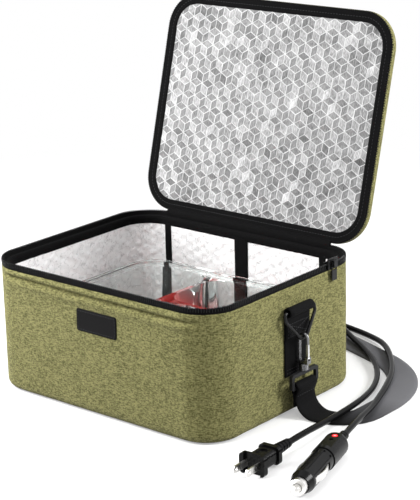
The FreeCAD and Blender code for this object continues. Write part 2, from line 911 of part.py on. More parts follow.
def build_strap(bar_z):
    """Webbing strap looped round both buckle bars, lying round the back of the bag, with its adjuster."""
    bar_half = buckle_bar / 2 + strap_loop_clearance
    outer = math.hypot(bar_half, buckle_thickness / 2) + strap_loop_clearance + strap_thickness
    inner = outer - strap_thickness
    low_y = tab_centre_y - strap_width / 2
    eye = Part.makeCylinder(outer, strap_width, V(strap_hang_x, low_y, bar_z), Y_AXIS)
    eye = eye.cut(Part.makeCylinder(inner, strap_width, V(strap_hang_x, low_y, bar_z), Y_AXIS))
    face_x = strap_hang_x + strap_thickness
    drop = block(
        strap_hang_x, face_x, low_y, low_y + strap_width, strap_floor_bend, bar_z - inner
    )
    bend_outer = Part.makeCylinder(
        strap_floor_bend, strap_width, V(strap_hang_x + strap_floor_bend, low_y, strap_floor_bend), Y_AXIS
    )
    bend_inner = Part.makeCylinder(
        strap_floor_bend - strap_thickness,
        strap_width,
        V(strap_hang_x + strap_floor_bend, low_y, strap_floor_bend),
        Y_AXIS,
    )
    quarter = block(
        strap_hang_x - overrun,
        strap_hang_x + strap_floor_bend,
        low_y,
        low_y + strap_width,
        -overrun,
        strap_floor_bend,
    )
    bend = bend_outer.cut(bend_inner).common(quarter)
    right = join([eye, drop, bend] + strap_floor_band())
    run_x = -(strap_hang_x + strap_floor_bend + strap_first_turn_radius)
    run_y = tab_centre_y + strap_first_turn_radius + strap_side_run / 2
    frame, fold = build_adjuster(run_x, run_y)
    strap = join([right, mirror_x(right), fold])
    return {"shoulder_strap": strap, "strap_adjuster": frame}


def screw_places():
    """Centres of the four screws, bosses and foot pads of the plate."""
    x = plate_length / 2 - screw_inset_x
    y = plate_depth / 2 - screw_inset_y
    return [V(sx * x, sy * y, 0) for sx in (-1, 1) for sy in (-1, 1)]


def cylinders(diameter, low, high):
    """Upright cylinders at the four screw places."""
    return [
        Part.makeCylinder(diameter / 2, high - low, place + V(0, 0, low)) for place in screw_places()
    ]


def plate_feet():
    """Four corner feet under the casing, with sloped ends."""
    low = plate_bottom + foot_pad_thickness
    feet = rounded_prism(plate_length, plate_depth, plate_corner_radius, low, casing_bottom)
    for span, foot, across, along_x in (
        (plate_length, foot_length, plate_depth, True),
        (plate_depth, foot_depth, plate_length, False),
    ):
        top = span / 2 - foot
        bottom = top + foot_slope
        outline = [(-bottom, low), (bottom, low), (top, casing_bottom), (-top, casing_bottom)]
        if along_x:
            points = [V(a, -across / 2 - overrun, z) for a, z in outline]
            way = V(0, across + 2 * overrun, 0)
        else:
            points = [V(-across / 2 - overrun, a, z) for a, z in outline]
            way = V(across + 2 * overrun, 0, 0)
        feet = feet.cut(Part.Face(Part.makePolygon(points + points[:1])).extrude(way))
    return feet


def socket_boss():
    """Raised housing on the front wall that carries the two sockets."""
    front = -plate_depth / 2
    low = casing_bottom - boss_drop
    boss_tail = inlet_depth - boss_reach + casing_wall
    outline = [
        (boss_left, front),
        (boss_left + boss_slope, front - boss_reach),
        (boss_right - boss_slope, front - boss_reach),
        (boss_right, front),
        (boss_right, front + boss_tail),
        (boss_left, front + boss_tail),
    ]
    points = [V(x, y, low) for x, y in outline]
    boss = Part.Face(Part.makePolygon(points + points[:1])).extrude(V(0, 0, casing_top - low))
    rib_right = boss_right - boss_slope
    rib = block(
        rib_right - boss_rib_width,
        rib_right,
        front - boss_reach - boss_rib_reach,
        front - boss_reach,
        low,
        casing_top,
    )
    return boss.fuse(rib)


def figure_eight(lobe_diameter, depth, front):
    """Two joined round lobes, cut from the front towards +Y."""
    half = inlet_pin_spacing / 2
    radius = lobe_diameter / 2
    lobes = [
        Part.makeCylinder(radius, depth, V(inlet_offset_x + side * half, front, socket_z), Y_AXIS)
        for side in (-1, 1)
    ]
    bridge = block(
        inlet_offset_x - half,
        inlet_offset_x + half,
        front,
        front + depth,
        socket_z - radius * math.sqrt(0.5),
        socket_z + radius * math.sqrt(0.5),
    )
    return lobes[0].fuse([lobes[1], bridge])


def front_block(width, height, radius, front, depth, centre_x, centre_z):
    """Round-cornered block whose face looks to the front."""
    shape = rounded_prism(width, height, radius, 0, depth, centre_x, centre_z)
    shape.rotate(ORIGIN, X_AXIS, QUARTER_TURN)
    shape.translate(V(0, front + depth, 0))
    return shape


def build_plate():
    """Heating plate: casing with feet and sockets, heater stack and cover."""
    pieces = {}
    boss_front = -plate_depth / 2 - boss_reach
    inner_length = plate_length - 2 * casing_wall
    inner_depth = plate_depth - 2 * casing_wall
    inner_radius = plate_corner_radius - casing_wall
    floor_top = casing_bottom + casing_floor

    casing = rounded_prism(plate_length, plate_depth, plate_corner_radius, casing_bottom, casing_top)
    casing = casing.cut(
        rounded_prism(inner_length, inner_depth, inner_radius, floor_top, casing_top + overrun)
    )
    casing = join([casing, plate_feet(), socket_boss()])
    inlet_hole = front_block(
        inlet_width + 2 * socket_clearance,
        inlet_height + 2 * socket_clearance,
        inlet_corner_radius + socket_clearance,
        boss_front - overrun,
        inlet_depth + overrun,
        inlet_offset_x,
        socket_z,
    )
    jack_hole = Part.makeCylinder(
        jack_diameter / 2 + socket_clearance,
        jack_depth + overrun,
        V(jack_offset_x, boss_front - overrun, socket_z),
        Y_AXIS,
    )
    recess_low = plate_bottom + foot_pad_thickness
    casing = casing.cut(inlet_hole).cut(jack_hole)
    for recess in cylinders(screw_recess_diameter, recess_low, casing_bottom):
        casing = casing.cut(recess)
    for hole in cylinders(screw_shank_diameter + 2 * screw_clearance, casing_bottom, floor_top):
        casing = casing.cut(hole)
    pieces["plate_housing"] = casing

    cover = rounded_prism(plate_length, plate_depth, plate_corner_radius, casing_top, plate_top)
    cover = fillet_level(cover, plate_top, cover_edge_radius)
    boss_low = floor_top + screw_boss_gap
    bosses = cylinders(screw_boss_diameter, boss_low, casing_top)
    cover = join([cover] + bosses)
    thread_top = casing_bottom + screw_shank_length + screw_clearance
    for thread in cylinders(screw_shank_diameter + screw_clearance, boss_low, thread_top):
        cover = cover.cut(thread)
    pieces["plate_cover"] = cover

    screws = []
    for place in screw_places():
        head = Part.makeCylinder(
            screw_head_diameter / 2, screw_head_height, place + V(0, 0, casing_bottom - screw_head_height)
        )
        shank = Part.makeCylinder(
            screw_shank_diameter / 2, screw_shank_length, place + V(0, 0, casing_bottom)
        )
        screws.append(join([head, shank]))
    pieces["housing_screws"] = group(screws)
    pieces["foot_pads"] = group(cylinders(foot_pad_diameter, plate_bottom, recess_low))

    mica_length = plate_length - 2 * heater_margin
    mica_depth = plate_depth - 2 * heater_margin
    mica_half_x = mica_length / 2
    mica_half_y = mica_depth / 2
    upper_low = casing_top - mica_thickness
    wire_low = upper_low - heater_wire_thickness
    lower_low = wire_low - mica_thickness
    pieces["heater_mica"] = group(
        [
            block(-mica_half_x, mica_half_x, -mica_half_y, mica_half_y, low, low + mica_thickness)
            for low in (lower_low, upper_low)
        ]
    )
    for name, lane in (("ac_heater_wire", 1), ("dc_heater_wire", -1)):
        pieces[name] = heater_ribbon(lane, mica_length, mica_depth, wire_low)

    felt_length = plate_length - 2 * felt_margin
    felt_depth = plate_depth - 2 * felt_margin
    felt = block(-felt_length / 2, felt_length / 2, -felt_depth / 2, felt_depth / 2, floor_top, lower_low)
    pocket = Part.makeCylinder(
        thermostat_diameter / 2 + thermostat_clearance,
        lower_low - floor_top,
        V(thermostat_offset_x, 0, floor_top),
    )
    pieces["plate_felt"] = felt.cut(pocket)
    pieces["thermostat"] = Part.makeCylinder(
        thermostat_diameter / 2, thermostat_height, V(thermostat_offset_x, 0, lower_low - thermostat_height)
    )

    inlet = front_block(
        inlet_width, inlet_height, inlet_corner_radius, boss_front, inlet_depth, inlet_offset_x, socket_z
    )
    inlet = inlet.cut(figure_eight(inlet_lobe_diameter, inlet_cavity_depth, boss_front))
    pieces["ac_inlet"] = inlet
    pin_back = boss_front + inlet_cavity_depth
    pieces["ac_inlet_pins"] = group(
        [
            Part.makeCylinder(
                inlet_pin_diameter / 2,
                inlet_pin_length,
                V(inlet_offset_x + side * inlet_pin_spacing / 2, pin_back - inlet_pin_length, socket_z),
                Y_AXIS,
            )
            for side in (-1, 1)
        ]
    )
    jack = Part.makeCylinder(jack_diameter / 2, jack_depth, V(jack_offset_x, boss_front, socket_z), Y_AXIS)
    flange = Part.makeCylinder(
        jack_flange_diameter / 2,
        jack_flange_thickness,
        V(jack_offset_x, boss_front - jack_flange_thickness, socket_z),
        Y_AXIS,
    )
    bore = Part.makeCylinder(
        jack_bore_diameter / 2,
        jack_bore_depth + jack_flange_thickness,
        V(jack_offset_x, boss_front - jack_flange_thickness, socket_z),
        Y_AXIS,
    )
    pieces["dc_jack"] = join([jack, flange]).cut(bore)
    pieces["dc_jack_pin"] = Part.makeCylinder(
        jack_pin_diameter / 2,
        jack_pin_length,
        V(jack_offset_x, boss_front + jack_bore_depth - jack_pin_length, socket_z),
        Y_AXIS,
    )
    return pieces


def heater_ribbon(lane, mica_length, mica_depth, low):
    """Resistance ribbon laid in a meander: one of two lanes that run side by side."""
    pitch = (mica_depth - 2 * heater_edge) / (heater_rows - 0.5)
    offset = lane * heater_lane_gap / 2
    half = heater_ribbon_width / 2
    bend_x = mica_length / 2 - heater_edge - pitch / 2
    first_y = -pitch * (heater_rows - 1) / 2
    solids = []
    for row in range(heater_rows):
        way = 1 if row % 2 == 0 else -1
        y = first_y + row * pitch + way * offset
        solids.append(block(-bend_x, bend_x, y - half, y + half, low, low + heater_wire_thickness))
        if row == heater_rows - 1:
            break
        radius = pitch / 2 - way * offset
        centre = V(way * bend_x, first_y + (row + 0.5) * pitch, low)
        turn = Part.makeCylinder(radius + half, heater_wire_thickness, centre, Z_AXIS, HALF_TURN)
        turn = turn.cut(Part.makeCylinder(radius - half, heater_wire_thickness, centre, Z_AXIS, HALF_TURN))
        turn.rotate(centre, Z_AXIS, -way * QUARTER_TURN)
        solids.append(turn)
    return join(solids)


def build_dish():
    """Glass dish: tapered body with a rim, one long compartment and two short ones."""
    low = dish_bottom
    rim_low = low + dish_height - dish_rim_height
    top = low + dish_height
    neck = (
        dish_length - 2 * dish_rim_reach,
        dish_depth - 2 * dish_rim_reach,
        dish_corner_radius - dish_rim_reach,
    )
    foot = (
        dish_length - 2 * dish_foot_inset_x,
        dish_depth - 2 * dish_foot_inset_y,
        dish_foot_corner_radius,
    )
    body = rounded_loft(foot, neck, low, rim_low)
    rim = rounded_prism(dish_length, dish_depth, dish_corner_radius, rim_low, top)
    dish = join([body, rim])
    dish = fillet_level(dish, top, dish_rim_reach / 2)

    well_length = neck[0] - 2 * dish_wall
    well_depth = neck[1] - 2 * dish_wall
    well_radius = neck[2] - dish_wall
    left_width = (well_length - dish_divider) * dish_left_share
    right_width = well_length - dish_divider - left_width
    front_depth = (well_depth - dish_divider) * dish_front_share
    back_depth = well_depth - dish_divider - front_depth
    left_x = -well_length / 2 + left_width / 2
    right_x = well_length / 2 - right_width / 2
    front_y = -well_depth / 2 + front_depth / 2
    back_y = well_depth / 2 - back_depth / 2
    pocket_top = top - dish_divider_drop
    for x, y, width, depth in (
        (left_x, 0.0, left_width, well_depth),
        (right_x, front_y, right_width, front_depth),
        (right_x, back_y, right_width, back_depth),
    ):
        bottom_size = (width - 2 * dish_pocket_draft, depth - 2 * dish_pocket_draft, dish_pocket_radius)
        top_size = (width, depth, dish_pocket_radius + dish_pocket_draft / 2)
        dish = dish.cut(rounded_loft(bottom_size, top_size, low + dish_floor, pocket_top, x, y))
    mouth = rounded_prism(well_length, well_depth, well_radius, pocket_top, top + overrun)
    return {"glass_dish": dish.cut(mouth)}


def ribbed_relief(length, diameter, end_diameter, rings, groove):
    """Strain relief along -X from the origin, with grooves cut round it."""
    outline = [(0, 0), (0, diameter / 2)]
    step = length / (2 * rings)
    for index in range(rings):
        share_in = (2 * index + 1) / (2 * rings)
        share_out = (2 * index + 2) / (2 * rings)
        at_in = diameter / 2 + (end_diameter - diameter) / 2 * share_in
        at_out = diameter / 2 + (end_diameter - diameter) / 2 * share_out
        outline.append((-(2 * index + 1) * step, at_in))
        outline.append((-(2 * index + 1) * step, at_in - groove))
        outline.append((-(2 * index + 2) * step, at_out - groove))
        if index < rings - 1:
            outline.append((-(2 * index + 2) * step, at_out))
    outline.append((-length, 0))
    return revolve_x(outline)


def end_block(width, height, radius, start, length):
    """Round-cornered block along +X, seen square from its end."""
    shape = rounded_prism(height, width, radius, 0, length)
    shape.rotate(ORIGIN, Y_AXIS, QUARTER_TURN)
    shape.translate(V(start, 0, 0))
    return shape


def build_mains_plug():
    """Two-blade mains plug along +X from the end of its strain relief, then laid on the floor."""
    rear = plug_relief_length
    waist = rear + plug_rear_length
    flange = waist + plug_waist_length
    face = flange + plug_flange_length
    relief = ribbed_relief(
        plug_relief_length,
        plug_relief_diameter,
        plug_relief_end_diameter,
        plug_relief_rings,
        plug_relief_groove,
    )
    relief.translate(V(rear, 0, 0))
    body = join(
        [
            relief,
            end_block(plug_rear_width, plug_rear_height, plug_corner_radius, rear, plug_rear_length),
            end_block(plug_waist_width, plug_waist_height, plug_corner_radius, waist, plug_waist_length),
            end_block(plug_width, plug_height, plug_corner_radius, flange, plug_flange_length),
        ]
    )
    recess_z = plug_waist_height / 2 - plug_recess_depth
    recess = rounded_prism(
        plug_recess_length,
        plug_recess_width,
        plug_recess_width / 2 - plug_relief_groove,
        recess_z,
        recess_z + overrun,
        waist + plug_waist_length / 2,
    )
    body = body.cut(recess)
    notch_half = plug_notch_width / 2
    notch_start = face - plug_notch_depth
    notch = block(notch_start, face + overrun, -notch_half, notch_half, -plug_height, plug_height)
    body = body.cut(notch)
    blades = []
    for side in (-1, 1):
        y = side * blade_spacing / 2
        start = face - blade_root
        end = face + blade_length
        half = blade_width / 2
        outline = [
            V(start, 0, -half),
            V(end - blade_tip_chamfer, 0, -half),
            V(end, 0, -half + blade_tip_chamfer),
            V(end, 0, half - blade_tip_chamfer),
            V(end - blade_tip_chamfer, 0, half),
            V(start, 0, half),
        ]
        blade = Part.Face(Part.makePolygon(outline + outline[:1])).extrude(V(0, blade_thickness, 0))
        blade.translate(V(0, y - blade_thickness / 2, 0))
        body = body.cut(blade)
        hole_start = V(end - blade_hole_inset, y - blade_spacing / 2, 0)
        hole = Part.makeCylinder(blade_hole_diameter / 2, blade_spacing, hole_start, Y_AXIS)
        blades.append(blade.cut(hole))
    origin = mains_route[0]
    return {
        "ac_plug_body": lay_out(body, plug_heading, origin),
        "ac_plug_blades": lay_out(group(blades), plug_heading, origin),
    }


def car_clip(side):
    """Bowed contact spring on one side of the car plug, with the eye it swings on."""
    nose = car_relief_length + car_grip_length + car_shoulder_length + car_barrel_length
    pivot_x = nose - car_clip_setback
    back_x = pivot_x - car_clip_length
    seat = car_barrel_diameter / 2 - car_clip_depth
    crest = car_barrel_diameter / 2 + car_clip_bow - car_clip_depth
    middle_x = (pivot_x + back_x) / 2
    outer = Part.Arc(V(back_x, seat, 0), V(middle_x, crest, 0), V(pivot_x, seat, 0))
    inner = Part.Arc(
        V(pivot_x, seat - car_clip_thickness, 0),
        V(middle_x, crest - car_clip_thickness, 0),
        V(back_x, seat - car_clip_thickness, 0),
    )
    outline = Part.Wire(
        [
            outer.toShape(),
            Part.LineSegment(outer.EndPoint, inner.StartPoint).toShape(),
            inner.toShape(),
            Part.LineSegment(inner.EndPoint, outer.StartPoint).toShape(),
        ]
    )
    half = car_clip_width / 2
    strip = Part.Face(outline).extrude(V(0, 0, car_clip_width))
    strip.translate(V(0, 0, -half))
    pin_y = seat - car_clip_thickness / 2
    eye = Part.makeCylinder(
        car_clip_pin_diameter / 2 + car_clip_thickness, car_clip_width, V(pivot_x, pin_y, -half)
    )
    bore = Part.makeCylinder(
        car_clip_pin_diameter / 2 + car_clip_clearance / 2, car_clip_width, V(pivot_x, pin_y, -half)
    )
    clip = join([strip, eye]).cut(bore)
    slot_half = half + car_clip_clearance
    slot_floor = car_barrel_diameter / 2 - car_clip_slot_depth
    slot = block(
        back_x - car_clip_clearance,
        pivot_x + car_clip_pin_diameter + car_clip_thickness,
        slot_floor,
        car_barrel_diameter,
        -slot_half,
        slot_half,
    )
    pin = Part.makeCylinder(car_clip_pin_diameter / 2, 2 * slot_half, V(pivot_x, pin_y, -slot_half))
    if side < 0:
        return [shape.mirror(ORIGIN, Y_AXIS) for shape in (clip, slot, pin)]
    return [clip, slot, pin]


def build_car_plug():
    """Car plug along +X from the end of its strain relief, then laid on the floor."""
    grip = car_relief_length
    shoulder = grip + car_grip_length
    barrel = shoulder + car_shoulder_length
    nose = barrel + car_barrel_length
    nose_end = nose + car_nose_length
    nut_end = nose_end + car_nut_length
    relief = ribbed_relief(
        car_relief_length, car_relief_diameter, car_relief_end_diameter, car_relief_rings, plug_relief_groove
    )
    relief.translate(V(grip, 0, 0))
    radius = car_grip_diameter / 2
    handle = Part.makeCylinder(radius, barrel - grip, V(grip, 0, 0), X_AXIS)
    rear_edges = [e for e in handle.Edges if all(abs(v.X - grip) < overrun for v in e.Vertexes)]
    handle = handle.makeFillet(car_grip_round, rear_edges)
    flat_start = grip + car_flat_setback
    flat = block(flat_start, shoulder, -radius, radius, car_flat_height, car_flat_height + overrun)
    front = revolve_x(
        [
            (barrel, 0),
            (barrel, car_barrel_diameter / 2),
            (nose, car_barrel_diameter / 2),
            (nose_end, car_nose_diameter / 2),
            (nose_end, 0),
        ]
    )
    body = join([relief, handle.cut(flat), front])
    flute_floor = car_barrel_diameter / 2 - car_flute_depth
    for index in range(car_flute_count):
        angle = FULL_TURN * (index + 0.5) / car_flute_count
        if abs(math.cos(math.radians(angle))) < math.sin(math.pi / car_flute_count / 2):
            continue
        flute = block(
            barrel + car_flute_margin,
            nose - car_flute_margin,
            -car_flute_width / 2,
            car_flute_width / 2,
            flute_floor,
            flute_floor + overrun,
        )
        flute.rotate(ORIGIN, X_AXIS, angle)
        body = body.cut(flute)

    core_start = nose_end - car_fuse_length - car_tip_travel - car_tip_collar_length
    core = Part.makeCylinder(car_core_diameter / 2, nose_end - core_start, V(core_start, 0, 0), X_AXIS)
    body = body.cut(core)
    pieces = {}
    for name, side in (("car_plug_clip_left", 1), ("car_plug_clip_right", -1)):
        clip, slot, pin = car_clip(side)
        body = body.cut(slot).fuse(pin)
        pieces[name] = clip

    lamp_x = grip + car_lamp_from_rear
    lamp_low = car_flat_height - car_lamp_drop - car_lamp_height
    lamp = Part.makeCylinder(car_lamp_diameter / 2, car_lamp_height, V(lamp_x, 0, lamp_low))
    pocket = Part.makeCylinder(car_lamp_diameter / 2, car_lamp_height + overrun, V(lamp_x, 0, lamp_low))
    window_low = car_flat_height - car_window_depth
    window = Part.makeCylinder(car_window_diameter / 2, overrun, V(lamp_x, 0, window_low))
    hole_low = V(grip + car_screw_hole_from_rear, 0, car_flat_height - car_screw_hole_depth)
    hole = Part.makeCylinder(car_screw_hole_diameter / 2, overrun, hole_low)
    body = body.cut(pocket).cut(window).cut(hole).removeSplitter()
    pieces["car_plug_lamp"] = lamp
    pieces["car_plug_body"] = body

    nut = revolve_x(
        [
            (nose_end, car_nut_bore / 2),
            (nose_end, car_nut_diameter / 2),
            (nut_end - car_nut_chamfer, car_nut_diameter / 2),
            (nut_end, car_nut_diameter / 2 - car_nut_chamfer),
            (nut_end, car_nut_bore / 2),
        ]
    )
    pieces["car_plug_nut"] = nut

    collar_end = nose_end - car_clip_clearance
    collar = collar_end - car_tip_collar_length
    tip_end = nut_end + car_tip_reach
    dome = car_tip_diameter / 2
    tip = revolve_x(
        [
            (collar, 0),
            (collar, car_tip_collar_diameter / 2),
            (collar_end, car_tip_collar_diameter / 2),
            (collar_end, dome),
            (tip_end - dome / 2, dome),
            (tip_end, dome / 2),
            (tip_end, 0),
        ]
    )
    pieces["car_plug_tip"] = tip
    fuse_end = collar - car_tip_travel - car_clip_clearance
    fuse_start = core_start
    pieces["car_plug_fuse"] = Part.makeCylinder(
        car_fuse_diameter / 2, fuse_end - fuse_start, V(fuse_start, 0, 0), X_AXIS
    )
    return {name: lay_out(shape, car_heading, car_route[0]) for name, shape in pieces.items()}


def build_connectors(mains_end, car_end):
    """Figure-eight connector and barrel connector at the far ends of the leads."""
    nose = connector_relief_length + connector_body_length
    relief = ribbed_relief(
        connector_relief_length,
        connector_relief_diameter,
        connector_relief_end_diameter,
        plug_relief_rings,
        plug_relief_groove,
    )
    relief.translate(V(connector_relief_length, 0, 0))
    body = end_block(
        connector_body_width, connector_body_height, connector_body_radius, connector_relief_length,
        connector_body_length,
    )
    snout = end_block(
        connector_nose_width, connector_nose_height, connector_nose_height / 2 - plug_relief_groove, nose,
        connector_nose_length,
    )
    mains = join([relief, body, snout])
    for side in (-1, 1):
        hole = Part.makeCylinder(
            connector_hole_diameter / 2,
            connector_nose_length,
            V(nose, side * inlet_pin_spacing / 2, 0),
            X_AXIS,
        )
        mains = mains.cut(hole)

    grip = connector_relief_length
    barrel = grip + barrel_grip_length
    tip = barrel + barrel_length
    car = revolve_x(
        [
            (grip, 0),
            (grip, barrel_grip_diameter / 2),
            (barrel, barrel_grip_diameter / 2),
            (barrel, barrel_diameter / 2),
            (tip, barrel_diameter / 2),
            (tip, barrel_bore_diameter / 2),
            (tip - barrel_bore_depth, barrel_bore_diameter / 2),
            (tip - barrel_bore_depth, 0),
        ]
    )
    car = join([relief, car])
    return {
        "ac_connector": lay_out(mains, mains_end[1], mains_end[0]),
        "dc_connector": lay_out(car, car_end[1], car_end[0]),
    }


def biarc(start, start_way, end, end_way):
    """Two tangent arcs from one point and direction to another."""
    across = end - start
    ways = start_way + end_way
    straight = across.dot(ways)
    square = 2 * (1 - start_way.dot(end_way))
    reach = (-straight + math.sqrt(straight * straight + square * across.dot(across))) / square
    first = start + start_way * reach
    last = end - end_way * reach
    middle = (first + last) * 0.5
    edges = []
    for a, corner, b in ((start, first, middle), (middle, last, end)):
        inward = ((a - corner).normalize() + (b - corner).normalize()).normalize()
        half_angle = (a - corner).getAngle(b - corner) / 2
        radius = reach * math.tan(half_angle)
        bow = corner + inward * (radius / math.sin(half_angle) - radius)
        edges.append(Part.Arc(a, bow, b).toShape())
    return edges


def wind_coil(centre, radius, half_turns, end_z):
    """Coil wound inwards on its upper layer, down a layer in half a turn, and outwards on the floor.

    It starts at its far side, running towards -X, turns left all the way, and ends in a straight tail, or,
    where the height of its end is given, in one that turns towards -Y. Returns its edges, where it starts,
    and the place and heading of its end.
    """
    cx, cy = centre
    low = coil_low_z
    high = coil_high_z
    step = coil_pitch / 2
    side = 1
    at_y = cy + radius
    start = V(cx + cord_diameter, at_y, high)
    edges = [Part.LineSegment(start, V(cx, at_y, high)).toShape()]
    turns = [(radius - index * step, high) for index in range(half_turns)]
    inner = radius - half_turns * step
    turns.append((inner, None))
    turns += [(inner + index * step, low) for index in range(1, half_turns)]
    for turn_radius, z in turns:
        far_y = at_y - side * 2 * turn_radius
        middle_y = (at_y + far_y) / 2
        bulge_x = cx - side * turn_radius
        if z is None:
            half_way = V(bulge_x, middle_y, (low + high) / 2)
            way = V(0, -side, (low - high) / (math.pi * turn_radius)).normalize()
            edges += biarc(V(cx, at_y, high), V(-side, 0, 0), half_way, way)
            edges += biarc(half_way, way, V(cx, far_y, low), V(side, 0, 0))
        else:
            bulge = V(bulge_x, middle_y, z)
            edges.append(Part.Arc(V(cx, at_y, z), bulge, V(cx, far_y, z)).toShape())
        at_y = far_y
        side = -side
    tail = V(cx - coil_tail_run, at_y, low)
    edges.append(Part.LineSegment(V(cx, at_y, low), tail).toShape())
    if end_z is None:
        return edges, start, ((tail.x, tail.y, tail.z), HALF_TURN)
    corner = V(tail.x - coil_tail_radius, at_y - coil_tail_radius, end_z)
    end = corner - Y_AXIS * cord_diameter
    edges += biarc(tail, -X_AXIS, corner, -Y_AXIS)
    edges.append(Part.LineSegment(corner, end).toShape())
    return edges, start, ((end.x, end.y, end.z), -QUARTER_TURN)


def coil_gap(edges):
    """Least gap between the coil's tube and itself, measured on points along its line."""
    line = Part.Wire(edges)
    points = line.discretize(int(line.Length / coil_gap_sample))
    skip = int(coil_gap_skip / coil_gap_sample)
    least = min(
        (points[i] - points[j]).Length
        for i in range(len(points))
        for j in range(i + skip, len(points))
    )
    return least - cord_diameter


def build_cord(name, route, coil_start):
    """Tube along a route: straight runs joined by the largest arcs that fit."""
    points = [V(*point) for point in route] + [coil_start]
    runs = [(b - a).Length for a, b in zip(points, points[1:])]
    radii = []
    for before, corner, after, run_in, run_out in zip(points, points[1:], points[2:], runs, runs[1:]):
        turn = (corner - before).getAngle(after - corner)
        radii.append(cord_bend_share * min(run_in, run_out) / math.tan(turn / 2))
    edges = rod_path(points, radii)
    tube = sweep_round(edges, cord_diameter)
    length = sum(edge.Length for edge in edges)
    section = math.pi * cord_diameter ** 2 / 4
    print(name, "length", round(length, 1), "volume share", round(tube.Volume / (section * length), 5))
    print(name, "radii", [round(radius) for radius in radii])
    return tube, length


def build_leads():
    """Both cords with their coils; the connectors sit on the coils' tails."""
    mains_end_z = connector_body_height / 2
    pieces = {}
    ends = []
    for name, route, centre, radius, half_turns, end_z in (
        ("ac_cord", mains_route, mains_coil_centre, mains_coil_radius, mains_coil_half_turns, mains_end_z),
        ("car_cord", car_route, car_coil_centre, car_coil_radius, car_coil_half_turns, None),
    ):
        edges, start, end = wind_coil(centre, radius, half_turns, end_z)
        pieces[name], length = build_cord(name, route, start)
        pieces[name + "_coil"] = sweep_round(edges, cord_diameter)
        wound = sum(edge.Length for edge in edges)
        gap = round(coil_gap(edges), 2)
        print(name, "coil", round(wound, 1), "whole", round(length + wound, 1), "gap", gap)
        ends.append(end)
    pieces.update(build_connectors(*ends))
    return pieces


def build_part():
    """Every node of the part, by name."""
    pieces = build_bag()
    pieces.update(build_lid())
    pieces.update(build_zip_slider())
    for name, shape in {**build_plate(), **build_dish()}.items():
        shape.translate(V(0, plate_setback, 0))
        pieces[name] = shape
    right, bar_z = build_strap_end()
    for name, shape in right.items():
        pieces[name + "_right"] = shape
        pieces[name + "_left"] = mirror_x(shape)
    pieces.update(build_strap(bar_z))
    pieces.update(build_mains_plug())
    pieces.update(build_car_plug())
    pieces.update(build_leads())
    return pieces


os.makedirs("parts", exist_ok=True)
for node, solid in build_part().items():
    solid.exportStep("parts/" + node + ".step")
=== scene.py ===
"""Looks of the electric lunch box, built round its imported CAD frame.

The soft pieces (cloth walls, foil linings, tapes, webbing, cords) are modelled here in place of their CAD
solids. The hard pieces keep their CAD shape and get procedural finishes. Sizes are in millimetres, in the
CAD's own frame, and turn to metres when a mesh is made.
"""

import json
import logging
import math
import random
from dataclasses import dataclass, field
from enum import Enum
from functools import lru_cache
from typing import Any, Callable, Dict, List, Mapping, Optional, Sequence, Tuple, Union

import bmesh
import bpy
from mathutils import Matrix, Vector, noise

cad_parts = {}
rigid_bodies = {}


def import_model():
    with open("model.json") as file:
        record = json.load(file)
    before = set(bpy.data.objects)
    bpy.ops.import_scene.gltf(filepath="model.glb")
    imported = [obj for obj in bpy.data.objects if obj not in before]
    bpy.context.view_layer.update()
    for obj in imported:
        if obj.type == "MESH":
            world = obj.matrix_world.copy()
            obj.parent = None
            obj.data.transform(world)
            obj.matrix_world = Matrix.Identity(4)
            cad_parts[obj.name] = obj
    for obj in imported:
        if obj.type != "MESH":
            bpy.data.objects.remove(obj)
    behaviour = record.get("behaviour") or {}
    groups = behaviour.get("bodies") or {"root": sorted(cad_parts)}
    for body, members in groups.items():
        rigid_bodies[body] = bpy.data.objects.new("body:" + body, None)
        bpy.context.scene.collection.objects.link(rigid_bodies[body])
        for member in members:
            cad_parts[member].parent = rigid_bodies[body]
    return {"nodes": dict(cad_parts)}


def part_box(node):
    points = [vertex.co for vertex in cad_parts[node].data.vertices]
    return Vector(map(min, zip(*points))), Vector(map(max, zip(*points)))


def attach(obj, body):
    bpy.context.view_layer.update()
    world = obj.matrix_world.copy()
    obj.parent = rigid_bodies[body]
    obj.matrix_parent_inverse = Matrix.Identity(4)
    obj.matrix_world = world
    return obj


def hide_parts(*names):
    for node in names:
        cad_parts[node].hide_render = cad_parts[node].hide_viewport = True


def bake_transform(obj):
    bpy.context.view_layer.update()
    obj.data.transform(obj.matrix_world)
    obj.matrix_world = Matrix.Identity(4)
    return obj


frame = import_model()

LOG = logging.getLogger("lunch_box")
MM = 0.001
UV_NAME = "cloth"
Colour = Tuple[float, float, float]
Point = Tuple[float, float, float]
Pair = Tuple[float, float]
Place = Tuple[float, float, float, float, float]
Socket = bpy.types.NodeSocket
X_WAY: Point = (1.0, 0.0, 0.0)
Y_WAY: Point = (0.0, 1.0, 0.0)


class Item(Enum):
    """Small things that are repeated along a line."""

    TOOTH = "tooth"
    STITCH = "stitch"
    RING = "ring"


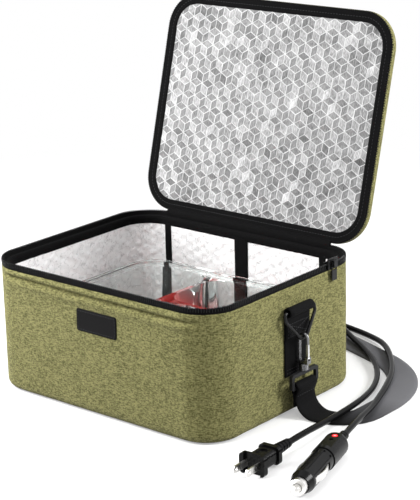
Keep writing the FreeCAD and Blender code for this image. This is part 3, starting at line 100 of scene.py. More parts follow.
class Graph:
    """Node tree under construction, whose nodes are added and linked in one call."""

    def __init__(self, tree: bpy.types.NodeTree) -> None:
        """Empties the tree.

        Args:
            tree: The node tree to fill.
        """
        self.tree = tree
        tree.nodes.clear()

    def add(
        self, kind: str, inputs: Optional[Mapping[Union[str, int], Any]] = None, **settings: Any
    ) -> bpy.types.Node:
        """Adds a node.

        Args:
            kind: Blender's name for the node type.
            inputs: Socket name or index, to a value or to a socket to link from.
            settings: Properties of the node.

        Returns:
            The new node.
        """
        node = self.tree.nodes.new(kind)
        for name, value in settings.items():
            setattr(node, name, value)
        for key, value in (inputs or {}).items():
            if isinstance(value, Socket):
                self.tree.links.new(value, node.inputs[key])
            else:
                node.inputs[key].default_value = value
        return node

    def math(self, operation: str, first: Any, second: Any = 0.0) -> Socket:
        """Returns the result of a math node on two values or sockets."""
        return self.add("ShaderNodeMath", {0: first, 1: second}, operation=operation).outputs[0]

    def weigh(self, *terms: Tuple[Socket, float]) -> Socket:
        """Returns the sum of values, each times its weight."""
        parts = [value if weight == 1.0 else self.math("MULTIPLY", value, weight) for value, weight in terms]
        total = parts[0]
        for part in parts[1:]:
            total = self.math("ADD", total, part)
        return total

    def scaled(self, vector: Socket, scale: Point) -> Socket:
        """Returns a vector multiplied by a constant one."""
        node = self.add("ShaderNodeVectorMath", {0: vector, 1: scale}, operation="MULTIPLY")
        return node.outputs[0]

    def noise(self, vector: Socket, scale: float, detail: float = 2.0) -> Socket:
        """Returns a noise value from 0 to 1."""
        inputs = {"Vector": vector, "Scale": scale, "Detail": detail}
        return self.add("ShaderNodeTexNoise", inputs).outputs[0]

    def mix(self, factor: Any, first: Any, second: Any) -> Socket:
        """Returns a blend of two colours; constant colours have three numbers."""
        colours = [c if isinstance(c, Socket) else (*c, 1.0) for c in (first, second)]
        node = self.add("ShaderNodeMix", data_type="RGBA")
        for index, value in ((0, factor), (6, colours[0]), (7, colours[1])):
            if isinstance(value, Socket):
                self.tree.links.new(value, node.inputs[index])
            else:
                node.inputs[index].default_value = value
        return node.outputs[2]

    def span(self, value: Socket, low: float, high: float, to_low: float, to_high: float) -> Socket:
        """Returns a value mapped from one range to another, held at the ends."""
        inputs = {0: value, 1: low, 2: high, 3: to_low, 4: to_high}
        return self.add("ShaderNodeMapRange", inputs).outputs[0]

    def bump(self, height: Socket, distance: float, strength: float = 1.0) -> Socket:
        """Returns a normal that follows a height, whose full step is the distance in metres."""
        inputs = {"Height": height, "Distance": distance, "Strength": strength}
        return self.add("ShaderNodeBump", inputs).outputs[0]

    def bumps(self, vector: Socket, cell: float) -> Socket:
        """Returns a honeycomb of round bumps from 0 to 1, whose cells have that width in metres."""
        turn = 2 * math.pi / (cell * math.cos(math.pi / 6))
        total: Any = 0.0
        for degrees in (0, 60, 120):
            way = (turn * math.cos(math.radians(degrees)), turn * math.sin(math.radians(degrees)), 0.0)
            node = self.add("ShaderNodeVectorMath", {0: vector, 1: way}, operation="DOT_PRODUCT")
            total = self.math("ADD", self.math("COSINE", node.outputs["Value"]), total)
        return self.span(total, -1.5, 3.0, 0.0, 1.0)

    def objects(self) -> Socket:
        """Returns object coordinates, which are metres in the CAD's frame."""
        return self.add("ShaderNodeTexCoord").outputs["Object"]

    def cloth(self) -> Socket:
        """Returns cloth coordinates: metres along and across the piece."""
        return self.add("ShaderNodeUVMap", uv_map=UV_NAME).outputs[0]

    def principled(self, **inputs: Any) -> Socket:
        """Returns a principled surface; underscores in names stand for spaces."""
        named = {key.replace("_", " "): value for key, value in inputs.items()}
        return self.add("ShaderNodeBsdfPrincipled", named).outputs[0]


@dataclass(frozen=True)
class Finish:
    """Surface that turns into a material; each kind shades itself."""

    name: str

    def shade(self, graph: Graph) -> Socket:
        """Returns the shader's output socket."""
        raise NotImplementedError

    def material(self) -> bpy.types.Material:
        """Returns the material of this finish, made on first use."""
        return material_of(self)


@lru_cache(maxsize=None)
def material_of(finish: Finish) -> bpy.types.Material:
    """Returns a finish's material, made once.

    Args:
        finish: The finish to build.

    Returns:
        The material, under the finish's own name.
    """
    made = bpy.data.materials.new(finish.name)
    made.use_nodes = True
    graph = Graph(made.node_tree)
    graph.add("ShaderNodeOutputMaterial", {"Surface": finish.shade(graph)})
    return made


@dataclass(frozen=True)
class HeatherCloth(Finish):
    """Woven melange cloth, whose threads change tone every few millimetres."""

    light: Colour
    dark: Colour
    threads: float = 1400.0
    slub: float = 400.0
    row_shift: float = 3.71
    weft_share: float = 0.68
    tones: Pair = (0.43, 0.63)
    relief: float = 0.0003

    def thread_tone(self, graph: Graph, along: Socket, across: Socket, start: float) -> Socket:
        """Returns the tone of the threads that run one way, each with lengths of its own.

        Args:
            graph: The material's graph.
            along: Coordinate along the threads.
            across: Coordinate across them.
            start: Place in the noise, so that the two ways differ.

        Returns:
            A value round one half.
        """
        row = graph.math("FLOOR", graph.math("MULTIPLY", across, self.threads))
        place = graph.add(
            "ShaderNodeCombineXYZ",
            {
                0: graph.math("MULTIPLY", along, self.slub),
                1: graph.math("MULTIPLY", row, self.row_shift),
                2: start,
            },
        )
        return graph.noise(place.outputs[0], 1.0, 1.0)

    def shade(self, graph: Graph) -> Socket:
        """See the base class."""
        cloth = graph.cloth()
        parts = graph.add("ShaderNodeSeparateXYZ", {0: cloth})
        weft = self.thread_tone(graph, parts.outputs[0], parts.outputs[1], 0.5)
        warp = self.thread_tone(graph, parts.outputs[1], parts.outputs[0], 9.5)
        mottle = graph.noise(cloth, 40.0, 2.0)
        grain = graph.noise(cloth, 700.0, 2.0)
        threads = graph.weigh((weft, self.weft_share), (warp, 1 - self.weft_share))
        extra = graph.weigh((grain, 0.22), (mottle, 0.06))
        tone = graph.weigh((threads, 0.78), (extra, 1.0))
        colour = graph.mix(graph.span(tone, *self.tones, 0.0, 1.0), self.dark, self.light)
        turn = 2 * math.pi * self.threads
        waves = [graph.math("SINE", graph.math("MULTIPLY", parts.outputs[k], turn)) for k in (0, 1)]
        height = graph.weigh((graph.math("MULTIPLY", *waves), 1.0), (grain, 2.0))
        return graph.principled(
            Base_Color=colour, Roughness=0.88, Specular_IOR_Level=0.15, Sheen_Weight=0.05,
            Sheen_Roughness=0.5, Normal=graph.bump(height, self.relief, 0.5),
        )


@dataclass(frozen=True)
class Foil(Finish):
    """Silver foil laminate, crinkled, with painted shade darkening its pits and the fine lines of its folds.
    """

    colour: Colour = (0.97, 0.97, 0.97)
    crinkle: float = 0.0018
    pit_shade: float = 0.4
    crease_shade: float = 0.42
    roughness: float = 0.32
    metal: float = 0.1
    cell: float = 9.5 * MM
    shade_tone: Colour = (0.2, 0.2, 0.205)
    fold_scale: Point = (105.0, 105.0, 120.0)
    fine_scale: Point = (420.0, 420.0, 230.0)

    def shade(self, graph: Graph) -> Socket:
        """See the base class."""
        place = graph.objects()
        folds = graph.noise(graph.scaled(place, self.fold_scale), 1.0, 3.0)
        fine = graph.noise(graph.scaled(place, self.fine_scale), 1.0, 3.0)
        pits = graph.noise(place, 260.0, 2.0)
        # Painted shade: the pits and the fold lines are darkened towards shade_tone.
        dark = graph.span(pits, 0.68, 0.76, 0.0, self.pit_shade)
        off_line = graph.math("ABSOLUTE", graph.math("SUBTRACT", folds, 0.5))
        shaded_creases = graph.span(off_line, 0.0, 0.022, self.crease_shade, 0.0)
        colour = graph.mix(graph.math("MAXIMUM", dark, shaded_creases), self.colour, self.shade_tone)
        height = graph.weigh((folds, 1.0), (fine, 0.4), (graph.bumps(graph.cloth(), self.cell), 0.4))
        rough = graph.span(fine, 0.3, 0.7, self.roughness - 0.07, self.roughness + 0.1)
        normal = graph.bump(height, self.crinkle, 0.7)
        return graph.principled(Base_Color=colour, Metallic=self.metal, Roughness=rough, Normal=normal)


@dataclass(frozen=True)
class EmbossedFoil(Finish):
    """Facet of an embossed foil, brushed with short scratches and clouded from place to place; its tone is
    the painted light and shade of the way the facet faces.
    """

    tone: float
    contrast: float = 0.5
    roughness: float = 0.5
    metal: float = 0.4

    def shade(self, graph: Graph) -> Socket:
        """See the base class."""
        cloth = graph.cloth()
        scratch = graph.noise(graph.scaled(cloth, (1300.0, 260.0, 1.0)), 1.0, 3.0)
        cloud = graph.noise(cloth, 42.0, 2.0)
        both = graph.weigh((scratch, 0.7), (cloud, 0.3))
        light = min(1.0, self.tone * (1 + self.contrast))
        deep = self.tone * (1 - self.contrast)
        colour = graph.mix(
            graph.span(both, 0.34, 0.66, 0.0, 1.0), (deep, deep, deep * 1.01), (light, light, light)
        )
        return graph.principled(
            Base_Color=colour, Metallic=self.metal, Roughness=self.roughness,
            Normal=graph.bump(scratch, 0.0003, 0.6),
        )


@dataclass(frozen=True)
class Tape(Finish):
    """Narrow woven tape or webbing with ribs, which may fade to another tone away from its ends: painted
    light, paler where the piece lies flat and faces the lamps.
    """

    colour: Colour
    # Paler tone away from the ends: painted light.
    far: Optional[Colour] = None
    fade: Pair = (0.0, 1.0)
    rib: float = 1.9 * MM
    sheen: float = 0.01

    def shade(self, graph: Graph) -> Socket:
        """See the base class."""
        cloth = graph.cloth()
        parts = graph.add("ShaderNodeSeparateXYZ", {0: cloth})
        turn = 2 * math.pi / self.rib
        ribs = graph.math("SINE", graph.math("MULTIPLY", parts.outputs[0], turn))
        weft = graph.math("SINE", graph.math("MULTIPLY", parts.outputs[1], turn * 1.9))
        weave = graph.math("MULTIPLY", ribs, weft)
        fuzz = graph.noise(cloth, 1500.0, 2.0)
        tone: Any = self.colour
        # Painted light: away from the ends the colour fades to the paler far tone.
        if self.far is not None:
            share = graph.span(parts.outputs[1], self.fade[0], self.fade[1], 0.0, 1.0)
            tone = graph.mix(share, self.colour, self.far)
        lift = graph.span(graph.math("ADD", weave, fuzz), -0.6, 1.8, 0.0, 0.2)
        paler = graph.mix(0.08, tone, (0.3, 0.3, 0.31))
        colour = graph.mix(lift, tone, paler)
        height = graph.weigh((weave, 0.5), (fuzz, 0.5))
        return graph.principled(
            Base_Color=colour, Roughness=0.75, Specular_IOR_Level=0.05, Sheen_Weight=self.sheen,
            Sheen_Roughness=0.45, Normal=graph.bump(height, 0.0004, 0.6),
        )


@dataclass(frozen=True)
class Moulded(Finish):
    """Moulded plastic or rubber with a fine grain and faint handling marks."""

    colour: Colour
    roughness: float = 0.45
    grain: float = 0.00012
    coat: float = 0.0
    gloss: float = 0.3

    def shade(self, graph: Graph) -> Socket:
        """See the base class."""
        place = graph.objects()
        grain = graph.noise(place, 2200.0, 2.0)
        smear = graph.noise(place, 35.0, 3.0)
        paler = tuple(min(1.0, c * 1.35 + 0.002) for c in self.colour)
        colour = graph.mix(graph.span(smear, 0.35, 0.7, 0.0, 0.6), self.colour, paler)
        rough = graph.span(smear, 0.3, 0.7, self.roughness - 0.06, self.roughness + 0.1)
        return graph.principled(
            Base_Color=colour, Roughness=rough, Normal=graph.bump(grain, self.grain, 0.5),
            Specular_IOR_Level=self.gloss, Coat_Weight=self.coat, Coat_Roughness=0.15,
        )


@dataclass(frozen=True)
class Metal(Finish):
    """Plated or plain metal with fine scratches and rubbed patches."""

    colour: Colour
    roughness: float = 0.24
    metal: float = 1.0

    def shade(self, graph: Graph) -> Socket:
        """See the base class."""
        place = graph.objects()
        scratch = graph.noise(graph.scaled(place, (900.0, 900.0, 160.0)), 1.0, 2.0)
        rub = graph.noise(place, 90.0, 2.0)
        rough = graph.span(rub, 0.3, 0.7, self.roughness - 0.06, self.roughness + 0.1)
        dull = tuple(c * 0.8 for c in self.colour)
        colour = graph.mix(graph.span(rub, 0.4, 0.75, 0.0, 0.7), self.colour, dull)
        normal = graph.bump(scratch, 0.00006, 0.4)
        return graph.principled(Base_Color=colour, Metallic=self.metal, Roughness=rough, Normal=normal)


@dataclass(frozen=True)
class ClearGlass(Finish):
    """Pressed clear glass, slightly wavy, with a faint cool tint."""

    tint: Colour = (0.93, 0.975, 0.96)

    def shade(self, graph: Graph) -> Socket:
        """See the base class."""
        wave = graph.noise(graph.objects(), 28.0, 1.0)
        rough = graph.span(wave, 0.3, 0.7, 0.0, 0.03)
        return graph.principled(
            Base_Color=(*self.tint, 1.0), Roughness=rough, IOR=1.5, Transmission_Weight=1.0,
            Normal=graph.bump(wave, 0.0006, 0.25),
        )


@dataclass(frozen=True)
class PaintedGlowPlate(Finish):
    """Coated metal plate top with a painted red glow under the dish, which also emits faintly, and fades to
    grey at its edge.
    """

    grey: Colour = (0.075, 0.07, 0.075)
    # Red of the painted glow; the plate is no lamp.
    glow_red: Colour = (0.52, 0.008, 0.005)
    half: Pair = (0.09, 0.066)
    middle_y: float = 0.005
    reach: float = 0.026

    def shade(self, graph: Graph) -> Socket:
        """See the base class."""
        place = graph.objects()
        parts = graph.add("ShaderNodeSeparateXYZ", {0: place})
        across = graph.math("SUBTRACT", graph.math("ABSOLUTE", parts.outputs[0]), self.half[0])
        from_middle = graph.math("SUBTRACT", parts.outputs[1], self.middle_y)
        deep = graph.math("SUBTRACT", graph.math("ABSOLUTE", from_middle), self.half[1])
        squares = graph.math(
            "ADD",
            graph.math("POWER", graph.math("MAXIMUM", across, 0.0), 2.0),
            graph.math("POWER", graph.math("MAXIMUM", deep, 0.0), 2.0),
        )
        away = graph.math("SQRT", squares)
        # Painted glow: red colour and a faint emission over the middle of the plate, fading out towards its
        # edge.
        glow_share = graph.span(away, 0.0, self.reach, 1.0, 0.0)
        grain = graph.noise(place, 1800.0, 2.0)
        colour = graph.mix(glow_share, self.grey, self.glow_red)
        return graph.principled(
            Base_Color=colour, Roughness=0.5, Specular_IOR_Level=0.2, Normal=graph.bump(grain, 0.0001, 0.5),
            Emission_Color=(*self.glow_red, 1.0), Emission_Strength=graph.math("MULTIPLY", glow_share, 0.008),
        )


@dataclass(frozen=True)
class Lamp(Finish):
    """Lit red lens with a bright heart."""

    heart: Point
    size: float

    def shade(self, graph: Graph) -> Socket:
        """See the base class."""
        ends = {0: graph.objects(), 1: self.heart}
        away = graph.add("ShaderNodeVectorMath", ends, operation="DISTANCE").outputs["Value"]
        near = graph.span(away, self.size * 0.15, self.size * 0.8, 1.0, 0.0)
        colour = graph.mix(near, (0.7, 0.0, 0.01), (1.0, 0.3, 0.3))
        strength = graph.span(near, 0.0, 1.0, 0.9, 2.2)
        return graph.principled(
            Base_Color=(0.6, 0.01, 0.02, 1.0), Roughness=0.2,
            Emission_Color=colour, Emission_Strength=strength,
        )


GREEN = HeatherCloth("green_heather", (0.325, 0.309, 0.126), (0.1, 0.096, 0.032))
LINING = Foil("lining_foil")
# Lit and shaded copies of one foil: a painted highlight on the ridges, and painted light, half shade and
# shade for the three ways that rhombs face.
LID_FOILS = (
    EmbossedFoil("lid_foil_ridge_painted_highlight", 0.46, 0.3),
    EmbossedFoil("lid_foil_painted_light", 0.25, 0.75),
    EmbossedFoil("lid_foil_painted_half_shade", 0.165, 0.75),
    EmbossedFoil("lid_foil_painted_shade", 0.1, 0.75),
)
BLACK_TAPE = Tape("black_tape", (0.001, 0.001, 0.0011))
TAB_WEBBING = Tape("tab_webbing", (0.0026, 0.0026, 0.0028))
# The strap is black webbing throughout; its grey away from the sewn ends is painted light where it lies flat
# on the floor.
STRAP_WEBBING = Tape("strap_webbing", (0.0028, 0.0028, 0.003), (0.125, 0.125, 0.133), (0.085, 0.15), 2.6 * MM)
PATCH = Tape("patch_cloth", (0.0085, 0.0082, 0.0087), rib=1.1 * MM)
THREAD = Moulded("thread", (0.035, 0.035, 0.037), 0.6, 0.0002, gloss=0.15)
GREEN_THREAD = Moulded("green_thread", (0.19, 0.18, 0.07), 0.7, 0.0002, gloss=0.15)
TEETH = Moulded("zip_teeth", (0.003, 0.003, 0.0032), 0.24, gloss=0.2)
CORD = Moulded("cord_jacket", (0.003, 0.003, 0.0032), 0.16, 0.00001, gloss=0.08)
PLUG = Moulded("plug_rubber", (0.0025, 0.0025, 0.0027), 0.22, 0.00006, gloss=0.12)
CASING = Moulded("casing_plastic", (0.028, 0.027, 0.03), 0.4, 0.00012)
SOCKET = Moulded("socket_plastic", (0.008, 0.008, 0.0085), 0.28, 0.00005, 0.3)
BUCKLE = Moulded("buckle_plastic", (0.016, 0.016, 0.017), 0.3, gloss=0.2)
BLACK_PAINT = Moulded("black_paint", (0.006, 0.006, 0.0064), 0.24, 0.00004, gloss=0.2)
RUBBER = Moulded("foot_rubber", (0.02, 0.02, 0.02), 0.7, 0.0003)
FELT = Moulded("felt", (0.62, 0.6, 0.55), 0.95, 0.0008)
MICA = Moulded("mica", (0.6, 0.55, 0.45), 0.3)
TIE = Moulded("coil_tie", (0.02, 0.02, 0.022), 0.6, 0.0003)
NICKEL = Metal("nickel", (0.78, 0.77, 0.75))
GUNMETAL = Metal("gunmetal", (0.2, 0.2, 0.205), 0.26)
SATIN_NICKEL = Metal("satin_nickel", (0.6, 0.6, 0.6), 0.28)
STEEL = Metal("steel", (0.56, 0.56, 0.57), 0.3)
ALLOY = Metal("heater_alloy", (0.5, 0.47, 0.43), 0.4)
GLASS = ClearGlass("clear_glass")
PAINTED_GLOW_PLATE = PaintedGlowPlate("painted_glow_plate")


class Shape:
    """Mesh under construction, in millimetres, with cloth coordinates on every face."""

    def __init__(self) -> None:
        """Starts empty."""
        self.points: List[Point] = []
        self.faces: List[Tuple[int, ...]] = []
        self.uvs: List[Tuple[Pair, ...]] = []
        self.slots: List[int] = []

    def grid(
        self,
        rows: Sequence[Sequence[Point]],
        across: Sequence[float],
        along: Sequence[float],
        wrap_across: bool = True,
        wrap_along: bool = False,
        slot_of: Optional[Callable[[int], int]] = None,
    ) -> int:
        """Adds rows of points joined by quads.

        Args:
            rows: Rows with equally many points.
            across: Cloth coordinate of each column, with one more where the rows are loops.
            along: Cloth coordinate of each row, with one more where the last row joins the first.
            wrap_across: Whether each row is a loop.
            wrap_along: Whether the last row joins the first.
            slot_of: Material slot of the faces after a row, by the row's number.

        Returns:
            The number of the first point that was added.
        """
        base = len(self.points)
        width = len(rows[0])
        height = len(rows)
        for row in rows:
            self.points.extend(tuple(point) for point in row)
        for j in range(height if wrap_along else height - 1):
            for i in range(width if wrap_across else width - 1):
                right = (i + 1) % width
                above = (j + 1) % height
                self.faces.append(
                    (
                        base + j * width + i,
                        base + j * width + right,
                        base + above * width + right,
                        base + above * width + i,
                    )
                )
                u0, u1 = across[i], across[i + 1]
                v0, v1 = along[j], along[j + 1]
                self.uvs.append(((u0, v0), (u1, v0), (u1, v1), (u0, v1)))
                self.slots.append(slot_of(j) if slot_of else 0)
        return base

    def cap(self, first: int, count: int, slot: int = 0) -> None:
        """Closes a loop of points with one face.

        Args:
            first: Number of the loop's first point.
            count: Number of points in the loop.
            slot: Material slot of the face.
        """
        ring = tuple(range(first, first + count))
        self.faces.append(ring)
        self.uvs.append(tuple((self.points[k][0], self.points[k][1]) for k in ring))
        self.slots.append(slot)

    def tube(
        self,
        rows: Sequence[Sequence[Point]],
        across: Sequence[float],
        along: Sequence[float],
        slot_of: Optional[Callable[[int], int]] = None,
        first_slot: int = 0,
    ) -> None:
        """Adds loops joined by quads, with a face over the first loop and one over the last.

        Args:
            rows: Loops with equally many points.
            across: Cloth coordinate of each column, and of the first again.
            along: Cloth coordinate of each loop.
            slot_of: Material slot of the faces after a loop, by the loop's number.
            first_slot: Material slot of the face over the first loop.
        """
        count = len(rows[0])
        base = self.grid(rows, across, along, slot_of=slot_of)
        self.cap(base, count, first_slot)
        self.cap(base + count * (len(rows) - 1), count)

    def piece(
        self, name: str, finishes: Sequence[Finish], sharp: float = 50.0, place: Optional[Matrix] = None
    ) -> bpy.types.Object:
        """Makes the mesh object, in metres.

        Args:
            name: Name of the piece.
            finishes: Finish of each material slot.
            sharp: Angle in degrees over which an edge stays sharp.
            place: Turn and shift of the whole piece, in metres.

        Returns:
            The object, linked to the scene and riding on nothing yet.
        """
        mesh = bpy.data.meshes.new(name)
        mesh.from_pydata([tuple(c * MM for c in point) for point in self.points], [], self.faces)
        layer = mesh.uv_layers.new(name=UV_NAME)
        flat = [c * MM for corners in self.uvs for corner in corners for c in corner]
        layer.data.foreach_set("uv", flat)
        mesh.polygons.foreach_set("material_index", self.slots)
        for finish in finishes:
            mesh.materials.append(finish.material())
        if place is not None:
            mesh.transform(place)
        working = bmesh.new()
        working.from_mesh(mesh)
        bmesh.ops.recalc_face_normals(working, faces=working.faces)
        working.to_mesh(mesh)
        working.free()
        mesh.shade_smooth()
        mesh.set_sharp_from_angle(angle=math.radians(sharp))
        made = bpy.data.objects.new(name, mesh)
        bpy.context.scene.collection.objects.link(made)
        return made


@dataclass(frozen=True)
class Outline:
    """Round-cornered rectangle, walked anticlockwise from the middle of its back edge."""

    length: float
    depth: float
    radius: float
    step: float = 2.5

    def walk(self) -> List[Place]:
        """Returns places as (x, y, outward x, outward y, distance along the outline)."""
        half_x = self.length / 2 - self.radius
        half_y = self.depth / 2 - self.radius
        quarter = self.radius * math.pi / 2
        legs = [half_x, quarter, 2 * half_y, quarter, 2 * half_x, quarter, 2 * half_y, quarter, half_x]
        corners = [(-half_x, half_y), (-half_x, -half_y), (half_x, -half_y), (half_x, half_y)]
        total = sum(legs)
        count = int(round(total / self.step))
        places = []
        for index in range(count):
            at = total * index / count
            rest = at
            leg = 0
            while rest > legs[leg]:
                rest -= legs[leg]
                leg += 1
            if leg % 2:
                cx, cy = corners[leg // 2]
                angle = math.pi / 2 * (1 + leg // 2) + rest / self.radius
                nx, ny = math.cos(angle), math.sin(angle)
                places.append((cx + nx * self.radius, cy + ny * self.radius, nx, ny, at))
                continue
            side = leg // 2 % 4
            nx, ny = ((0.0, 1.0), (-1.0, 0.0), (0.0, -1.0), (1.0, 0.0))[side]
            start_x, start_y = ((0.0 if leg == 0 else half_x, half_y), *corners[:3])[side]
            x = start_x + nx * self.radius - ny * rest
            y = start_y + ny * self.radius + nx * rest
            places.append((x, y, nx, ny, at))
        return places

    def perimeter(self) -> float:
        """Returns the outline's length."""
        return 2 * (self.length + self.depth) - (8 - 2 * math.pi) * self.radius

    def columns(self) -> List[float]:
        """Returns the distance along the outline of each place, and of the first again."""
        return [place[4] for place in self.walk()] + [self.perimeter()]

    def rows(
        self, levels: Sequence[Pair], moved: Optional[Callable[[Place, float], float]] = None
    ) -> List[List[Point]]:
        """Returns loops of points on the outline.

        Args:
            levels: Margin inside the outline and height of each loop.
            moved: Distance by which a point stands out, from its place and height.

        Returns:
            One row of points for each level.
        """
        places = self.walk()
        rows = []
        for inset, z in levels:
            row = []
            for place in places:
                x, y, nx, ny, _ = place
                out = (moved(place, z) if moved else 0.0) - inset
                row.append((x + nx * out, y + ny * out, z))
            rows.append(row)
        return rows

    def line(self, inset: float, z: float, open_back: bool = False) -> List[Point]:
        """Returns one loop of points.

        Args:
            inset: Margin inside the outline.
            z: Height of the loop.
            open_back: Whether the loop stays clear of the hinge.

        Returns:
            The points in order.
        """
        points = self.rows([(inset, z)])[0]
        if open_back:
            points = [p for p in points if p[1] <= HINGE_NEAR or abs(p[0]) >= HINGE_HALF]
        return points

    def margin(self, x: float, y: float) -> Point:
        """Returns how far inside a place is, and the way inwards from the nearest edge."""
        qx = abs(x) - (self.length / 2 - self.radius)
        qy = abs(y) - (self.depth / 2 - self.radius)
        sx, sy = math.copysign(1.0, x), math.copysign(1.0, y)
        if qx > 0 and qy > 0:
            away = math.hypot(qx, qy)
            return self.radius - away, -sx * qx / away, -sy * qy / away
        if qx > qy:
            return self.radius - qx, -sx, 0.0
        return self.radius - qy, 0.0, -sy


BAG = Outline(265.0, 214.0, 34.0)
HINGE_Y = 107.0
HINGE_Z = 123.5
HINGE_HALF = 98.5
HINGE_NEAR = 100.0
LID_ANGLE = -105.0
TOOTH_STEP = 2.3


def lid_place() -> Matrix:
    """Returns the turn, in metres, from the closed lid to the lid as it stands open."""
    pivot = Vector((0.0, HINGE_Y * MM, HINGE_Z * MM))
    turn = Matrix.Rotation(math.radians(LID_ANGLE), 4, "X")
    return Matrix.Translation(pivot) @ turn @ Matrix.Translation(-pivot)


def lumps(x: float, y: float, z: float, size: float) -> float:
    """Returns smooth noise from -1 to 1 whose lumps have about the given size in millimetres."""
    return noise.noise(Vector((x / size, y / size, z / size)))


def ease(value: float, low: float, high: float) -> float:
    """Returns a smooth step from 0 at low to 1 at high."""
    share = min(1.0, max(0.0, (value - low) / (high - low)))
    return share * share * (3 - 2 * share)


def distances(section: Sequence[Pair]) -> List[float]:
    """Returns how far along a drawn section each of its points is."""
    total = [0.0]
    for (a0, b0), (a1, b1) in zip(section, section[1:]):
        total.append(total[-1] + math.hypot(a1 - a0, b1 - b0))
    return total


@dataclass
class Kit:
    """What every sub-assembly uses: the CAD's nodes and a way to hand pieces over."""

    nodes: Dict[str, bpy.types.Object]
    done: List[str] = field(default_factory=list)

    def give(self, made: bpy.types.Object, body: str, slot: str, stands_for: Sequence[str] = ()) -> None:
        """Puts a piece on its body.

        Args:
            made: The piece.
            body: Name of the CAD body that it rides on.
            slot: The record's material slot; not used.
            stands_for: CAD nodes that it replaces.
        """
        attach(made, body)
        if stands_for:
            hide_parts(*stands_for)
        self.done.append(f"{made.name} rides on {body}")

    def dress(self, finish: Finish, *names: str) -> None:
        """Gives a finish to CAD nodes that keep their shape."""
        for name in names:
            for place in self.nodes[name].material_slots:
                place.link = "OBJECT"
                place.material = finish.material()
            self.done.append(f"{name} keeps its CAD shape, in {finish.name}")


